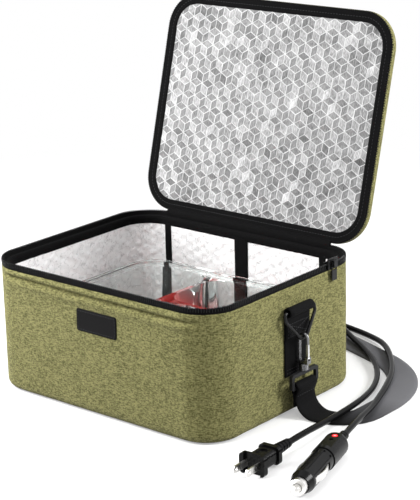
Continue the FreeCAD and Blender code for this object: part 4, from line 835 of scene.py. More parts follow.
class Repeater:
    """Geometry Nodes set-up that lays an item at even steps along a line."""

    def __init__(self, item: Item, size: Point, finish: Finish) -> None:
        """Builds the node tree.

        Args:
            item: What is repeated.
            size: The item's size in millimetres: along the line, across it, and up.
            finish: The item's finish.
        """
        self.finish = finish
        self.size = [c * MM for c in size]
        self.tree = bpy.data.node_groups.new("repeat_" + item.value, "GeometryNodeTree")
        interface = self.tree.interface
        interface.new_socket("Geometry", in_out="INPUT", socket_type="NodeSocketGeometry")
        self.step = interface.new_socket("Step", in_out="INPUT", socket_type="NodeSocketFloat").identifier
        self.scale = interface.new_socket("Size", in_out="INPUT", socket_type="NodeSocketVector").identifier
        interface.new_socket("Geometry", in_out="OUTPUT", socket_type="NodeSocketGeometry")
        graph = Graph(self.tree)
        start = graph.add("NodeGroupInput")
        line = graph.add("GeometryNodeMeshToCurve", {0: start.outputs[0]})
        even = graph.add("GeometryNodeResampleCurve", {"Curve": line.outputs[0]}, mode="LENGTH")
        self.tree.links.new(start.outputs[1], even.inputs["Length"])
        tangent = graph.add("GeometryNodeInputTangent")
        turn = graph.add(
            "FunctionNodeAlignRotationToVector", {"Vector": tangent.outputs[0]}, axis="X",
            pivot_axis="Z" if item is Item.TOOTH else "AUTO",
        )
        shape = {Item.TOOTH: self.tooth, Item.STITCH: self.stitch, Item.RING: self.ring}[item](graph)
        laid = graph.add(
            "GeometryNodeInstanceOnPoints",
            {
                "Points": even.outputs[0],
                "Instance": shape,
                "Rotation": turn.outputs[0],
                "Scale": start.outputs[2],
            },
        )
        real = graph.add("GeometryNodeRealizeInstances", {0: laid.outputs[0]})
        smooth = graph.add("GeometryNodeSetShadeSmooth", {"Geometry": real.outputs[0]})
        smooth.inputs["Shade Smooth"].default_value = item is not Item.TOOTH
        dressed = graph.add("GeometryNodeSetMaterial", {"Geometry": smooth.outputs[0]})
        dressed.inputs["Material"].default_value = finish.material()
        graph.add("NodeGroupOutput", {0: dressed.outputs[0]})

    @staticmethod
    def tooth(graph: Graph) -> Socket:
        """Returns a tooth of unit size: a stem with a round head across the chain."""
        stem = graph.add("GeometryNodeMeshCube", {"Size": (0.62, 0.8, 0.8)})
        low = graph.add("GeometryNodeTransform", {0: stem.outputs[0], "Translation": (0.0, 0.0, -0.1)})
        bar = graph.add("GeometryNodeMeshCylinder", {"Vertices": 8, "Radius": 0.5, "Depth": 1.0})
        head = graph.add(
            "GeometryNodeTransform",
            {
                0: bar.outputs[0],
                "Translation": (0.0, 0.0, 0.2),
                "Rotation": (math.pi / 2, 0.0, 0.0),
                "Scale": (0.84, 1.0, 0.6),
            },
        )
        both = graph.add("GeometryNodeJoinGeometry")
        for part in (low, head):
            graph.tree.links.new(part.outputs[0], both.inputs[0])
        return both.outputs[0]

    @staticmethod
    def stitch(graph: Graph) -> Socket:
        """Returns a stitch of unit size: a thread's bead, long along the line."""
        bead = graph.add("GeometryNodeMeshUVSphere", {"Segments": 8, "Rings": 6, "Radius": 0.5})
        return bead.outputs[0]

    @staticmethod
    def ring(graph: Graph) -> Socket:
        """Returns a ring of unit size, whose axis is the line."""
        circle = "GeometryNodeCurvePrimitiveCircle"
        hoop = graph.add(circle, {"Resolution": 28, "Radius": 0.44}, mode="RADIUS")
        upright = graph.add(
            "GeometryNodeTransform", {0: hoop.outputs[0], "Rotation": (0.0, math.pi / 2, 0.0)}
        )
        wire = graph.add(circle, {"Resolution": 8, "Radius": 0.06}, mode="RADIUS")
        tube = graph.add("GeometryNodeCurveToMesh", {"Curve": upright.outputs[0]})
        graph.tree.links.new(wire.outputs[0], tube.inputs["Profile Curve"])
        wide = graph.add("GeometryNodeTransform", {0: tube.outputs[0], "Scale": (8.0, 1.0, 1.0)})
        return wide.outputs[0]

    def lay(
        self,
        name: str,
        lines: Sequence[Tuple[Sequence[Point], bool]],
        step: float,
        place: Optional[Matrix] = None,
    ) -> bpy.types.Object:
        """Lays the item along lines.

        Args:
            name: Name of the piece.
            lines: Each line's points in millimetres, and whether it is closed.
            step: Distance between items in millimetres.
            place: Turn and shift of the whole piece, in metres.

        Returns:
            A plain mesh object that rides on nothing yet.
        """
        points: List[Point] = []
        edges: List[Tuple[int, int]] = []
        for line, closed in lines:
            first = len(points)
            points.extend(tuple(c * MM for c in point) for point in line)
            edges.extend((k, k + 1) for k in range(first, len(points) - 1))
            if closed:
                edges.append((len(points) - 1, first))
        mesh = bpy.data.meshes.new(name + "_line")
        mesh.from_pydata(points, edges, [])
        made = bpy.data.objects.new(name, mesh)
        bpy.context.scene.collection.objects.link(made)
        modifier = made.modifiers.new("repeat", "NODES")
        modifier.node_group = self.tree
        modifier[self.step] = step * MM
        modifier[self.scale] = self.size
        graph = bpy.context.evaluated_depsgraph_get()
        real = bpy.data.meshes.new_from_object(made.evaluated_get(graph), depsgraph=graph)
        made.modifiers.clear()
        made.data = real
        if not real.materials:
            real.materials.append(self.finish.material())
        if place is not None:
            real.transform(place)
        return made


@dataclass(frozen=True)
class Station:
    """Place on a band's middle line, with the ways across its width and out of its face."""

    centre: Vector
    across: Vector
    out: Vector


def sheet(line: Sequence[Point], across: Point) -> List[Station]:
    """Returns stations of a band along a line, whose width runs one way throughout."""
    found = []
    for k, place in enumerate(line):
        before = line[max(0, k - 1)]
        after = line[min(len(line) - 1, k + 1)]
        way = Vector([b - a for a, b in zip(before, after)]).normalized()
        found.append(Station(Vector(place), Vector(across), way.cross(Vector(across))))
    return found


def band(
    shape: Shape,
    stations: Sequence[Station],
    width: float,
    thickness: float,
    from_ends: bool = False,
    closed: bool = False,
) -> None:
    """Adds a flat band with softened edges along its stations.

    Args:
        shape: The mesh to add to.
        stations: Places along the band.
        width: Width of the band.
        thickness: Thickness of the band.
        from_ends: Whether its length is counted from the nearer end.
        closed: Whether the band is a loop.
    """
    half = width / 2
    thin = thickness / 2
    edge = thickness * 0.35
    profile = [(-half, -thin + edge), (-half + edge, -thin)]
    steps = 6
    profile += [(-half + width * k / steps, -thin) for k in range(1, steps)]
    profile += [(half - edge, -thin), (half, -thin + edge), (half, thin - edge), (half - edge, thin)]
    profile += [(half - width * k / steps, thin) for k in range(1, steps)]
    profile += [(-half + edge, thin), (-half, thin - edge)]
    rows = []
    along = [0.0]
    for before, here in zip(stations, stations[1:]):
        along.append(along[-1] + (here.centre - before.centre).length)
    if from_ends:
        along = [min(at, along[-1] - at) for at in along]
    if closed:
        along.append(along[-1] + (stations[0].centre - stations[-1].centre).length)
    for station in stations:
        rows.append([tuple(station.centre + station.across * a + station.out * b) for a, b in profile])
    across = [a for a, _ in profile] + [profile[0][0]]
    if closed:
        shape.grid(rows, across, along, wrap_along=True)
    else:
        shape.tube(rows, across, along)


@dataclass
class Bag:
    """Cloth walls and floor, foil lining, black rim and the label patch."""

    kit: Kit
    wall_top: float = 117.0
    base_radius: float = 7.0
    foam_inset: float = 5.0
    floor: float = 7.8
    front_bulge: float = 1.3
    bulge_half: float = 118.0
    fold_height: float = 108.4
    fold_rise: float = 1.6
    fold_run: Pair = (111.0, 210.0)
    fold_ends: Tuple[float, float, float, float] = (-122.0, -100.0, 100.0, 118.0)
    fold_waves: Tuple[Point, ...] = ((-3.5, 0.0, 1.7), (1.4, 3.9, 2.2), (1.2, -5.2, 3.4))
    tooth: Point = (1.15, 2.9, 3.4)
    tooth_line: Pair = (0.95, 120.5)
    label: Tuple[float, float, float, float] = (4.5, 87.5, 47.0, 20.5)
    label_radius: float = 2.0
    label_sink: float = 0.12
    label_seam: Pair = (1.9, 0.8)
    seams: Tuple[float, ...] = (-104.0, -101.0, 104.0, 107.0)
    bands: Tuple[Pair, ...] = ((-94.0, 8.0), (-2.0, 16.0), (94.0, 8.0))
    band_inset: float = 6.35
    band_heights: Pair = (8.4, 112.0)
    band_thickness: float = 1.3

    def bulge(self, x: float, z: float) -> float:
        """Returns how far the front wall swells out at a place."""
        across = math.cos(math.pi / 2 * min(1.0, abs(x) / self.bulge_half))
        return self.front_bulge * (across * math.sin(math.pi * min(1.0, z / self.wall_top)))

    def fold(self, x: float, z: float) -> float:
        """Returns how far the long fold under the front rim moves the cloth out at a place."""
        start, full, waning, end = self.fold_ends
        right, run = self.fold_run
        off = z - (self.fold_height + self.fold_rise * ((right - min(right, x)) / run) ** 2)
        inside = ease(x, start, full) * (1 - ease(x, waning, end))
        waves = [high * math.exp(-(((off - at) / wide) ** 2)) for high, at, wide in self.fold_waves]
        return inside * sum(waves)

    def skin(self, x: float, y: float, ny: float, z: float) -> float:
        """Returns how far the wall cloth stands out from the CAD's wall at a place."""
        out = 0.22 * lumps(x, y, z, 38.0) + 0.1 * lumps(x + 40.0, y, z, 13.0)
        if ny < -0.5:
            out += self.bulge(x, z) * ease(-ny, 0.5, 1.0)
            out += self.fold(x, z)
        low = ease(z, 5.0, 22.0)
        return out + (1 - low) * 0.25 * lumps(x, y, z, 17.0)

    def build_shell(self) -> None:
        """Builds the padded cloth tub."""
        r = self.base_radius
        top = self.wall_top
        edge = [math.radians(a) for a in range(0, 91, 18)]
        outside = [(30.0, 0.05), (16.0, 0.0)] + [(r - r * math.sin(a), r - r * math.cos(a)) for a in edge]
        wall = [(0.0, 10.0 + 3.0 * k) for k in range(29)] + [(0.0, 96.5 + 1.2 * k) for k in range(17)]
        rim = [(0.15, top - 0.4), (0.9, top), (3.0, top), (self.foam_inset, top - 0.2)]
        inside = [(self.foam_inset, 60.0), (self.foam_inset, 7.3), (12.0, 7.2), (30.0, 7.2)]
        rows = BAG.rows(outside + wall, lambda place, z: self.skin(place[0], place[1], place[3], z))
        rows += BAG.rows(rim + inside)
        along = distances(outside + wall + rim + inside)
        shape = Shape()
        # The floor and the lowest part of the rounded edge are in black tape, which shows as a thin dark line
        # along the base.
        shape.tube(rows, BAG.columns(), along, slot_of=lambda j: 1 if j < 4 else 0, first_slot=1)
        made = shape.piece("bag_shell", (GREEN, BLACK_TAPE))
        stands_for = ("bag_wall_fabric", "bag_base_fabric", "bag_insulation", "base_board")
        self.kit.give(made, "bag", "green_fabric", stands_for)

    def build_lining(self) -> None:
        """Builds the crinkled foil tub inside the walls."""

        def crinkle(place: Place, z: float) -> float:
            at = place[4]
            tall = noise.noise(Vector((at / 16.0, z / 75.0, 3.1)))
            fine = noise.noise(Vector((at / 6.0, z / 24.0, 7.7)))
            pinch = noise.noise(Vector((at / 34.0, z / 30.0, 1.3)))
            return -(0.55 + 0.5 * tall + 0.28 * fine + 0.3 * pinch) * ease(z, 8.0, 22.0)

        inner = [(30.0, self.floor), (14.0, self.floor), (8.0, self.floor + 0.05), (6.2, 8.6), (5.7, 11.0)]
        inner += [(5.65, 14.0 + 3.0 * k) for k in range(34)]
        outer = [(5.1, 114.5), (5.1, 60.0), (5.1, 7.4), (12.0, 7.35), (30.0, 7.35)]
        shape = Shape()
        shape.tube(BAG.rows(inner, crinkle) + BAG.rows(outer), BAG.columns(), distances(inner + outer))
        made = shape.piece("bag_lining", (LINING,))
        self.kit.give(made, "bag", "foil_lining", ("bag_liner",))

    def build_rim(self) -> None:
        """Builds the black band of zip tape and binding round the rim, and the teeth on it."""
        section = [
            (0.3, 116.2), (0.05, 116.9), (0.0, 118.4), (0.3, 119.2), (0.2, 120.2), (0.3, 121.2), (0.9, 121.7),
            (1.9, 121.65), (2.2, 120.8), (2.3, 118.2), (2.6, 117.75), (4.2, 117.7), (6.0, 117.3),
            (6.75, 116.2), (6.9, 114.4), (6.75, 112.6), (6.9, 111.0), (6.5, 109.8), (5.8, 109.6),
            (5.55, 110.4), (5.5, 116.0), (2.4, 116.6),
        ]

        def sway(place: Place, z: float) -> float:
            return 0.16 * noise.noise(Vector((place[4] / 21.0, z / 30.0, 5.0)))

        shape = Shape()
        shape.grid(BAG.rows(section, sway), BAG.columns(), distances(section + section[:1]), wrap_along=True)
        made = shape.piece("rim_band", (BLACK_TAPE,), sharp=80.0)
        self.kit.give(made, "bag", "black_binding", ("rim_binding", "bag_zip_tape"))

        chain = Repeater(Item.TOOTH, self.tooth, TEETH)
        line = BAG.line(*self.tooth_line, open_back=True)
        teeth = chain.lay("rim_teeth", [(line, False)], TOOTH_STEP)
        self.kit.give(teeth, "bag", "zip_teeth", ("bag_zip_chain",))

    def label_place(self, a: float, b: float, out: float) -> Point:
        """Returns a place by the label's middle, standing out from the front wall's cloth."""
        x, z = self.label[0] + a, self.label[1] + b
        front = -BAG.depth / 2
        return (x, front - self.skin(x, front, -1.0, z) - out, z)

    def build_label(self) -> None:
        """Builds the bare label patch and its stitched edge."""
        edge = Outline(self.label[2], self.label[3], self.label_radius, 1.0)
        places = edge.walk()
        levels = [(0.0, 0.0, 1.0), (0.0, 0.5, 1.0), (0.35, 0.85, 1.0), (1.2, 0.95, 1.0), (1.9, 0.7, 1.0)]
        levels += [(1.95, 0.85, share) for share in (1.0, 0.75, 0.5, 0.25, 0.05)]
        rows = []
        for inset, thick, share in levels:
            out = thick - self.label_sink
            spread = [((a - na * inset) * share, (b - nb * inset) * share) for a, b, na, nb, _ in places]
            rows.append([self.label_place(a, b, out) for a, b in spread])
        shape = Shape()
        shape.tube(rows, edge.columns(), [2.0 * k for k in range(len(rows))])
        shape.uvs = [tuple((shape.points[k][0], shape.points[k][2]) for k in ring) for ring in shape.faces]
        made = shape.piece("label_patch_cloth", (PATCH,))
        self.kit.give(made, "bag", "black_binding", ("label_patch",))

        inset, out = self.label_seam
        line = [self.label_place(a - na * inset, b - nb * inset, out) for a, b, na, nb, _ in places]
        sewing = Repeater(Item.STITCH, (2.2, 0.5, 0.5), THREAD)
        self.kit.give(sewing.lay("label_stitches", [(line, True)], 3.0), "bag", "black_binding")

    def build_seams(self) -> None:
        """Builds the seams at the front corners."""
        lines = []
        for target in self.seams:
            at = BAG.perimeter() / 2 + target
            x, y, nx, ny, _ = min(BAG.walk(), key=lambda place: abs(place[4] - at))
            heights = [10.0 + 2.0 * k for k in range(53)]
            outs = [self.skin(x, y, ny, z) + 0.05 for z in heights]
            lines.append(([(x + nx * o, y + ny * o, z) for o, z in zip(outs, heights)], False))
        thread = Repeater(Item.STITCH, (2.4, 0.45, 0.45), GREEN_THREAD)
        self.kit.give(thread.lay("corner_stitches", lines, 3.4), "bag", "green_fabric")

    def build_bands(self) -> None:
        """Builds the black bands sewn to the back lining."""
        shape = Shape()
        y = BAG.depth / 2 - self.band_inset
        low, high = self.band_heights
        steps = 36
        for centre, width in self.bands:
            stations = []
            for k in range(steps + 1):
                z = low + (high - low) * k / steps
                sway = 0.12 * lumps(centre, 0.0, z, 19.0)
                stations.append(Station(Vector((centre, y + sway, z)), Vector(X_WAY), -Vector(Y_WAY)))
            band(shape, stations, width, self.band_thickness)
        made = shape.piece("lining_bands", (BLACK_TAPE,))
        self.kit.give(made, "bag", "black_binding", ("liner_bands",))

    def build(self) -> None:
        """Builds every piece of the bag."""
        self.build_shell()
        self.build_lining()
        self.build_rim()
        self.build_label()
        self.build_seams()
        self.build_bands()


@dataclass
class Lid:
    """Padded lid with an embossed foil face, a black border, teeth and the cloth hinge."""

    kit: Kit
    under: float = 125.7
    side: float = 129.6
    edge_radius: float = 5.0
    crown: float = 2.2
    top_rise: float = 1.4
    top_seam: float = 9.0
    border_seam: Pair = (6.0, 124.6)
    tooth: Point = (1.15, 2.9, -2.0)
    tooth_line: Pair = (1.1, 125.5)
    foil_level: float = 125.4
    foil_inset: float = 5.0
    cell: float = 8.4
    emboss: float = 1.1
    facet_share: float = 0.9
    dent: float = 0.12
    # Slot of each way of rhomb, whose tone paints the light and shade that it gets.
    tones: Tuple[int, int, int] = (2, 3, 1)
    odd_share: float = 0.25

    def build_shell(self) -> None:
        """Builds the crowned pad in green cloth."""
        r = self.edge_radius
        top = self.side + r
        arc = [math.radians(a) for a in range(0, 91, 15)]
        levels = [(30.0, self.under), (10.0, self.under), (1.4, self.under), (0.4, self.under + 0.1)]
        levels += [(0.0, self.under + 0.7), (-0.15, self.under + 2.2)]
        levels += [(r - r * math.cos(a), self.side + r * math.sin(a)) for a in arc]
        levels += [(8.0, top + 0.1), (self.top_seam, top - 0.25), (10.0, top + 0.1), (14.0, top + 0.5)]
        levels += [(21.0, top + 1.0), (30.0, top + self.top_rise)]
        rows = []
        for inset, z in levels:
            row = []
            for x, y, nx, ny, _ in BAG.walk():
                swell = 0.2 * lumps(x, y, z, 45.0) if z > self.side else 0.0
                row.append((x - nx * inset, y - ny * inset, z + swell))
            rows.append(row)
        ring = rows[-1]
        shares = (0.85, 0.7, 0.55, 0.4, 0.25, 0.1)
        for share in shares:
            lift = top + self.top_rise + self.crown * (1 - share) ** 0.8
            drawn = [(x * share, y * share) for x, y, _ in ring]
            rows.append([(x, y, lift + 0.35 * lumps(x, y, 0.0, 60.0)) for x, y in drawn])
        levels += [(30.0 + 100.0 * (1 - share), top) for share in shares]
        shape = Shape()
        shape.tube(rows, BAG.columns(), distances(levels))
        for number, corners in enumerate(shape.faces):
            if min(shape.points[k][2] for k in corners) >= top - 0.6:
                shape.uvs[number] = tuple((shape.points[k][0], shape.points[k][1]) for k in corners)
        made = shape.piece("lid_shell", (GREEN,), place=lid_place())
        self.kit.give(made, "lid", "green_fabric", ("lid_outer_shell", "lid_insulation"))

        thread = Repeater(Item.STITCH, (2.4, 0.5, 0.5), GREEN_THREAD)
        line = BAG.line(self.top_seam, top - 0.1)
        stitches = thread.lay("lid_top_stitches", [(line, True)], 3.6, lid_place())
        self.kit.give(stitches, "lid", "green_fabric")

    def build_border(self) -> None:
        """Builds the black border on the lid's inner face, its stitches and its teeth."""
        section = [
            (0.6, 125.8), (0.55, 124.7), (0.9, 124.25), (1.8, 124.2), (2.4, 124.45), (2.9, 124.4),
            (4.6, 124.4), (6.0, 124.7), (7.6, 124.45), (9.6, 124.6), (10.5, 125.0), (10.6, 125.8),
        ]

        def sway(place: Place, z: float) -> float:
            return -0.18 * noise.noise(Vector((place[4] / 24.0, z, 9.0)))

        shape = Shape()
        shape.grid(BAG.rows(section, sway), BAG.columns(), distances(section + section[:1]), wrap_along=True)
        made = shape.piece("lid_border", (BLACK_TAPE,), sharp=80.0, place=lid_place())
        self.kit.give(made, "lid", "black_binding", ("lid_zip_tape",))

        sewing = Repeater(Item.STITCH, (2.2, 0.45, 0.45), THREAD)
        line = BAG.line(*self.border_seam)
        stitches = sewing.lay("lid_border_stitches", [(line, True)], 3.2, lid_place())
        self.kit.give(stitches, "lid", "black_binding")

        chain = Repeater(Item.TOOTH, self.tooth, TEETH)
        line = BAG.line(*self.tooth_line, open_back=True)
        teeth = chain.lay("lid_teeth", [(line, False)], TOOTH_STEP, lid_place())
        self.kit.give(teeth, "lid", "zip_teeth", ("lid_zip_chain",))

    def build_foil(self) -> None:
        """Builds the embossed foil face: tumbling blocks, three framed and tilted rhombs to a cell, with
        painted light and shade in the tone of each way of rhomb.
        """
        size = self.cell
        numbers: Dict[Tuple[int, int], int] = {}
        shape = Shape()
        draw = random.Random(11)

        def face(quad: Sequence[int], slot: int) -> None:
            shape.faces.append(tuple(quad))
            shape.uvs.append(tuple((shape.points[q][0], shape.points[q][1]) for q in quad))
            shape.slots.append(slot)

        def facet(quad: Sequence[int], tone: int) -> None:
            middle = sum((Vector(shape.points[q]) for q in quad), Vector()) / 4
            inner = []
            for q in quad:
                inner.append(len(shape.points))
                place = middle.lerp(Vector(shape.points[q]), self.facet_share)
                shape.points.append((place.x, place.y, place.z + self.dent))
            # The frame round each rhomb takes slot 0, the painted highlight on the ridges; the rhomb itself
            # takes the tone of its painted light and shade.
            for k in range(4):
                after = (k + 1) % 4
                face((quad[k], quad[after], inner[after], inner[k]), 0)
            face(inner, tone)

        def corner(x: float, y: float, height: float) -> int:
            key = (round(x * 20), round(y * 20))
            if key in numbers:
                return numbers[key]
            margin, in_x, in_y = BAG.margin(x, y)
            if margin < self.foil_inset:
                x += in_x * (self.foil_inset - margin)
                y += in_y * (self.foil_inset - margin)
            raised = ease(margin, 8.0, 14.0)
            sag = 0.3 * lumps(x, y, 0.0, 40.0)
            numbers[key] = len(shape.points)
            shape.points.append((x, y, self.foil_level - raised * (height - sag)))
            return numbers[key]

        width = math.sqrt(3.0) * size
        for row in range(-14, 15):
            for column in range(-15, 16):
                cx = (column + 0.5 * (row % 2)) * width
                cy = row * 1.5 * size
                if BAG.margin(cx, cy)[0] < 3.0:
                    continue
                middle = corner(cx, cy, self.emboss)
                ring = []
                for k in range(6):
                    angle = math.radians(30 + 60 * k)
                    height = 0.0 if k % 2 else self.emboss / 2
                    ring.append(corner(cx + size * math.cos(angle), cy + size * math.sin(angle), height))
                for k in (1, 3, 5):
                    # Painted light and shade: the slot follows the way the rhomb faces, and a share are
                    # swapped at random.
                    tone = self.tones[k // 2]
                    if draw.random() < self.odd_share:
                        tone = draw.choice(self.tones)
                    facet((middle, ring[k - 1], ring[k], ring[(k + 1) % 6]), tone)
        made = shape.piece("lid_foil_face", LID_FOILS, sharp=3.0, place=lid_place())
        thick = made.modifiers.new("thickness", "SOLIDIFY")
        thick.thickness = 0.2 * MM
        thick.offset = 0.0
        self.kit.give(made, "lid", "foil_lining", ("lid_liner",))

    def build_hinge(self) -> None:
        """Builds the cloth tape that bends between the bag's rim and the lid."""
        section = [
            (106.95, 116.6), (107.05, 120.8), (107.5, 122.4), (108.8, 123.1), (109.6, 124.6), (108.7, 125.9),
            (107.2, 125.3), (105.9, 124.2), (105.0, 122.9), (104.55, 121.0), (104.5, 119.2), (104.7, 116.6),
        ]
        rows = []
        count = 80
        for k in range(count + 1):
            x = -HINGE_HALF + 2 * HINGE_HALF * k / count
            rows.append(
                [
                    (x, y + 0.14 * lumps(x, y, z, 14.0), z + 0.14 * lumps(x, z, y, 18.0))
                    for y, z in section
                ]
            )
        along = [2 * HINGE_HALF * k / count for k in range(count + 1)]
        shape = Shape()
        shape.tube(rows, distances(section + section[:1]), along)
        made = shape.piece("hinge_cloth", (BLACK_TAPE,), sharp=80.0)
        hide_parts("hinge_tape", "lid_hinge_tape")
        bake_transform(made)
        self.kit.done.append(f"{made.name} bends between bag and lid")

    def build(self) -> None:
        """Builds every piece of the lid."""
        self.build_shell()
        self.build_border()
        self.build_foil()
        self.build_hinge()


@dataclass
class StrapEnd:
    """Sewn tab, ring, snap hook, gate and buckle on one side; side is 1 for the right, -1 for the left."""

    kit: Kit
    side: int
    wall: float = 132.5
    centre_y: float = 8.0
    width: float = 34.0
    foot: float = 36.0
    bar: Pair = (137.1, 96.0)
    loop_radius: float = 3.75
    thickness: float = 1.5
    hang_x: float = 141.5
    barrel: float = 6.0
    ring_edge: float = 0.5
    ring_step: float = 1.25
    ring_wide: float = 0.8
    ring_across: float = 9.2

    def build_tab(self) -> None:
        """Builds the webbing tab that is folded over the ring's bar and sewn down."""
        bar_x, bar_z = self.bar
        sheet_x = self.wall + self.thickness / 2 + 0.25
        line: List[Pair] = [(sheet_x, self.foot + 3.0 * k) for k in range(19)]
        line += [(sheet_x + 0.02, 92.5)]
        for degrees in range(180, -121, -20):
            angle = math.radians(degrees)
            reach = self.loop_radius
            line.append((bar_x + reach * math.cos(angle), bar_z + reach * math.sin(angle)))
        front_x = sheet_x + self.thickness + 0.05
        line += [(front_x + 0.15, 90.5), (front_x, 87.0), (front_x, 82.0), (front_x, 76.0), (front_x, 70.5)]
        shape = Shape()
        points = [(self.side * x, self.centre_y, z) for x, z in line]
        band(shape, sheet(points, Y_WAY), self.width, self.thickness)
        name = "tab_" + self.end()
        made = shape.piece(name, (TAB_WEBBING,))
        self.kit.give(made, "bag", "black_binding", ("side_" + name,))

        face = self.side * (front_x + self.thickness / 2 + 0.05)
        low_face = self.side * (sheet_x + self.thickness / 2 + 0.05)
        near, far = self.centre_y - self.width / 2 + 3.0, self.centre_y + self.width / 2 - 3.0
        box = [(face, near, 84.0), (face, far, 84.0), (face, far, 72.5), (face, near, 72.5)]
        cross = [(face, near, 84.0), (face, far, 72.5)]
        other = [(face, far, 84.0), (face, near, 72.5)]
        rows = [[(low_face, near, z), (low_face, far, z)] for z in (39.0, 42.0)]
        sewing = Repeater(Item.STITCH, (2.2, 0.5, 0.5), THREAD)
        lines = [(box, True), (cross, False), (other, False)] + [(row, False) for row in rows]
        self.kit.give(sewing.lay(name + "_stitches", lines, 3.0), "bag", "black_binding")

    def end(self) -> str:
        """Returns the word for this side in the names of its pieces."""
        return "right" if self.side > 0 else "left"

    def build(self) -> None:
        """Builds the tab and finishes the metal and plastic pieces of this side."""
        self.build_tab()
        end = self.end()
        self.kit.dress(BLACK_PAINT, "tab_ring_" + end)
        self.kit.dress(GUNMETAL, "snap_hook_" + end)
        self.kit.dress(SATIN_NICKEL, "hook_gate_" + end)
        self.kit.dress(BUCKLE, "strap_buckle_" + end)
        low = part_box("snap_hook_" + end)[0].z / MM
        x = self.side * self.hang_x
        heights = (low + self.ring_edge, low + self.barrel - self.ring_edge)
        line = [(x, self.centre_y, z) for z in heights]
        turned = Repeater(Item.RING, (self.ring_wide, self.ring_across, self.ring_across), GUNMETAL)
        self.kit.give(turned.lay("hook_rings_" + end, [(line, False)], self.ring_step), "bag", "steel")


@dataclass
class ShoulderStrap:
    """Webbing strap from buckle to buckle, lying round the back of the bag, with its adjuster."""

    kit: Kit
    width: float = 28.0
    thickness: float = 1.7
    hang_x: float = 141.5
    centre_y: float = 8.0
    bar_z: float = 27.0
    eye_radius: float = 3.76
    bend: float = 18.0
    first_radius: float = 30.0
    side_run: float = 22.0
    second_radius: float = 103.0
    second_angle: float = 70.0
    back_run: float = 54.0
    step: float = 6.0
    adjuster: Pair = (-189.5, 49.0)

    def half(self) -> List[Station]:
        """Returns the stations of the right half, from its sewn end to the middle behind the bag."""
        upright: List[Pair] = [(self.hang_x - 1.0, 9.0 + 3.0 * k) for k in range(4)]
        upright.append((self.hang_x - 1.7, 21.2))
        for degrees in range(214, -35, -16):
            angle = math.radians(degrees)
            reach = self.eye_radius
            upright.append((self.hang_x + reach * math.cos(angle), self.bar_z + reach * math.sin(angle)))
        upright += [(self.hang_x + 2.0, 22.0), (self.hang_x + 1.1, 19.6)]
        inner = self.bend - 0.9
        for degrees in range(180, 271, 10):
            angle = math.radians(degrees)
            upright.append(
                (self.hang_x + self.bend + inner * math.cos(angle), self.bend + inner * math.sin(angle))
            )
        found = sheet([(x, self.centre_y, z) for x, z in upright], Y_WAY)
        place = Vector((self.hang_x + self.bend, self.centre_y, 0.9))
        heading = 0.0
        legs = [
            (self.first_radius, 90.0, 0.0),
            (0.0, 0.0, self.side_run),
            (self.second_radius, self.second_angle, 0.0),
            (0.0, 0.0, self.back_run),
        ]

        def follow(radius: float, turn: float, run: float, steps: int) -> None:
            nonlocal place, heading
            for _ in range(steps):
                swing = turn / steps
                length = math.radians(swing) * radius + run / steps
                middle = math.radians(heading + swing / 2)
                place = place + Vector((math.cos(middle), math.sin(middle), 0.0)) * length
                heading += swing
                found.append(self.flat(place, heading))

        for radius, turn, run in legs:
            follow(radius, turn, run, max(2, int((math.radians(turn) * radius + run) / self.step)))
        last = 180.0 - heading
        follow(place.x / math.sin(math.radians(last)), last, 0.0, 12)
        return found

    @staticmethod
    def flat(place: Vector, heading: float) -> Station:
        """Returns a station of the strap where it lies flat, heading that way in degrees."""
        angle = math.radians(heading)
        across = Vector((-math.sin(angle), math.cos(angle), 0.0))
        return Station(place.copy(), across, Vector((0.0, 0.0, 1.0)))

    def build(self) -> None:
        """Builds the strap with its sewn ends and finishes the adjuster."""
        right = self.half()
        mirror = Vector((-1.0, 1.0, 1.0))
        left = []
        for station in right[-2::-1]:
            across = station.across * mirror
            left.append(Station(station.centre * mirror, -across, station.out * mirror))
        stations = right + left
        shape = Shape()
        band(shape, stations, self.width, self.thickness, from_ends=True)
        x, y = self.adjuster
        low, high, reach = 2.0, 5.4, 3.2
        fold = [(-reach, low), (-reach, 3.4), (-reach, high - 0.6), (-reach + 0.6, high), (0.0, high + 0.1)]
        fold += [(reach - 0.6, high), (reach, high - 0.6), (reach, 3.4), (reach, low)]
        loop = [(x, y + dy, z) for dy, z in fold]
        band(shape, sheet(loop, X_WAY), self.width, self.thickness)
        made = shape.piece("strap_band", (STRAP_WEBBING,))
        self.kit.give(made, "bag", "strap_webbing", ("shoulder_strap",))
        sewing = Repeater(Item.STITCH, (2.2, 0.5, 0.5), THREAD)
        lines = []
        for side in (-1, 1):
            face = side * (self.hang_x + 2.05)
            for z in (19.4, 20.8):
                lines.append(([(face, self.centre_y - 11.5, z), (face, self.centre_y + 11.5, z)], False))
        self.kit.give(sewing.lay("strap_stitches", lines, 3.0), "bag", "strap_webbing")
        self.kit.dress(BUCKLE, "strap_adjuster")


@dataclass
class HeatingPlate:
    """Finishes of the heating plate's CAD pieces."""

    kit: Kit

    def dress(self) -> None:
        """Gives every piece its finish."""
        self.kit.dress(CASING, "plate_housing")
        self.kit.dress(PAINTED_GLOW_PLATE, "plate_cover")
        self.kit.dress(MICA, "heater_mica")
        self.kit.dress(ALLOY, "ac_heater_wire", "dc_heater_wire")
        self.kit.dress(FELT, "plate_felt")
        self.kit.dress(STEEL, "thermostat", "housing_screws")
        self.kit.dress(RUBBER, "foot_pads")
        self.kit.dress(SOCKET, "ac_inlet")
        self.kit.dress(NICKEL, "dc_jack", "ac_inlet_pins", "dc_jack_pin")


@dataclass
class Dish:
    """Finish of the glass dish."""

    kit: Kit

    def dress(self) -> None:
        """Gives the dish its glass."""
        self.kit.dress(GLASS, "glass_dish")


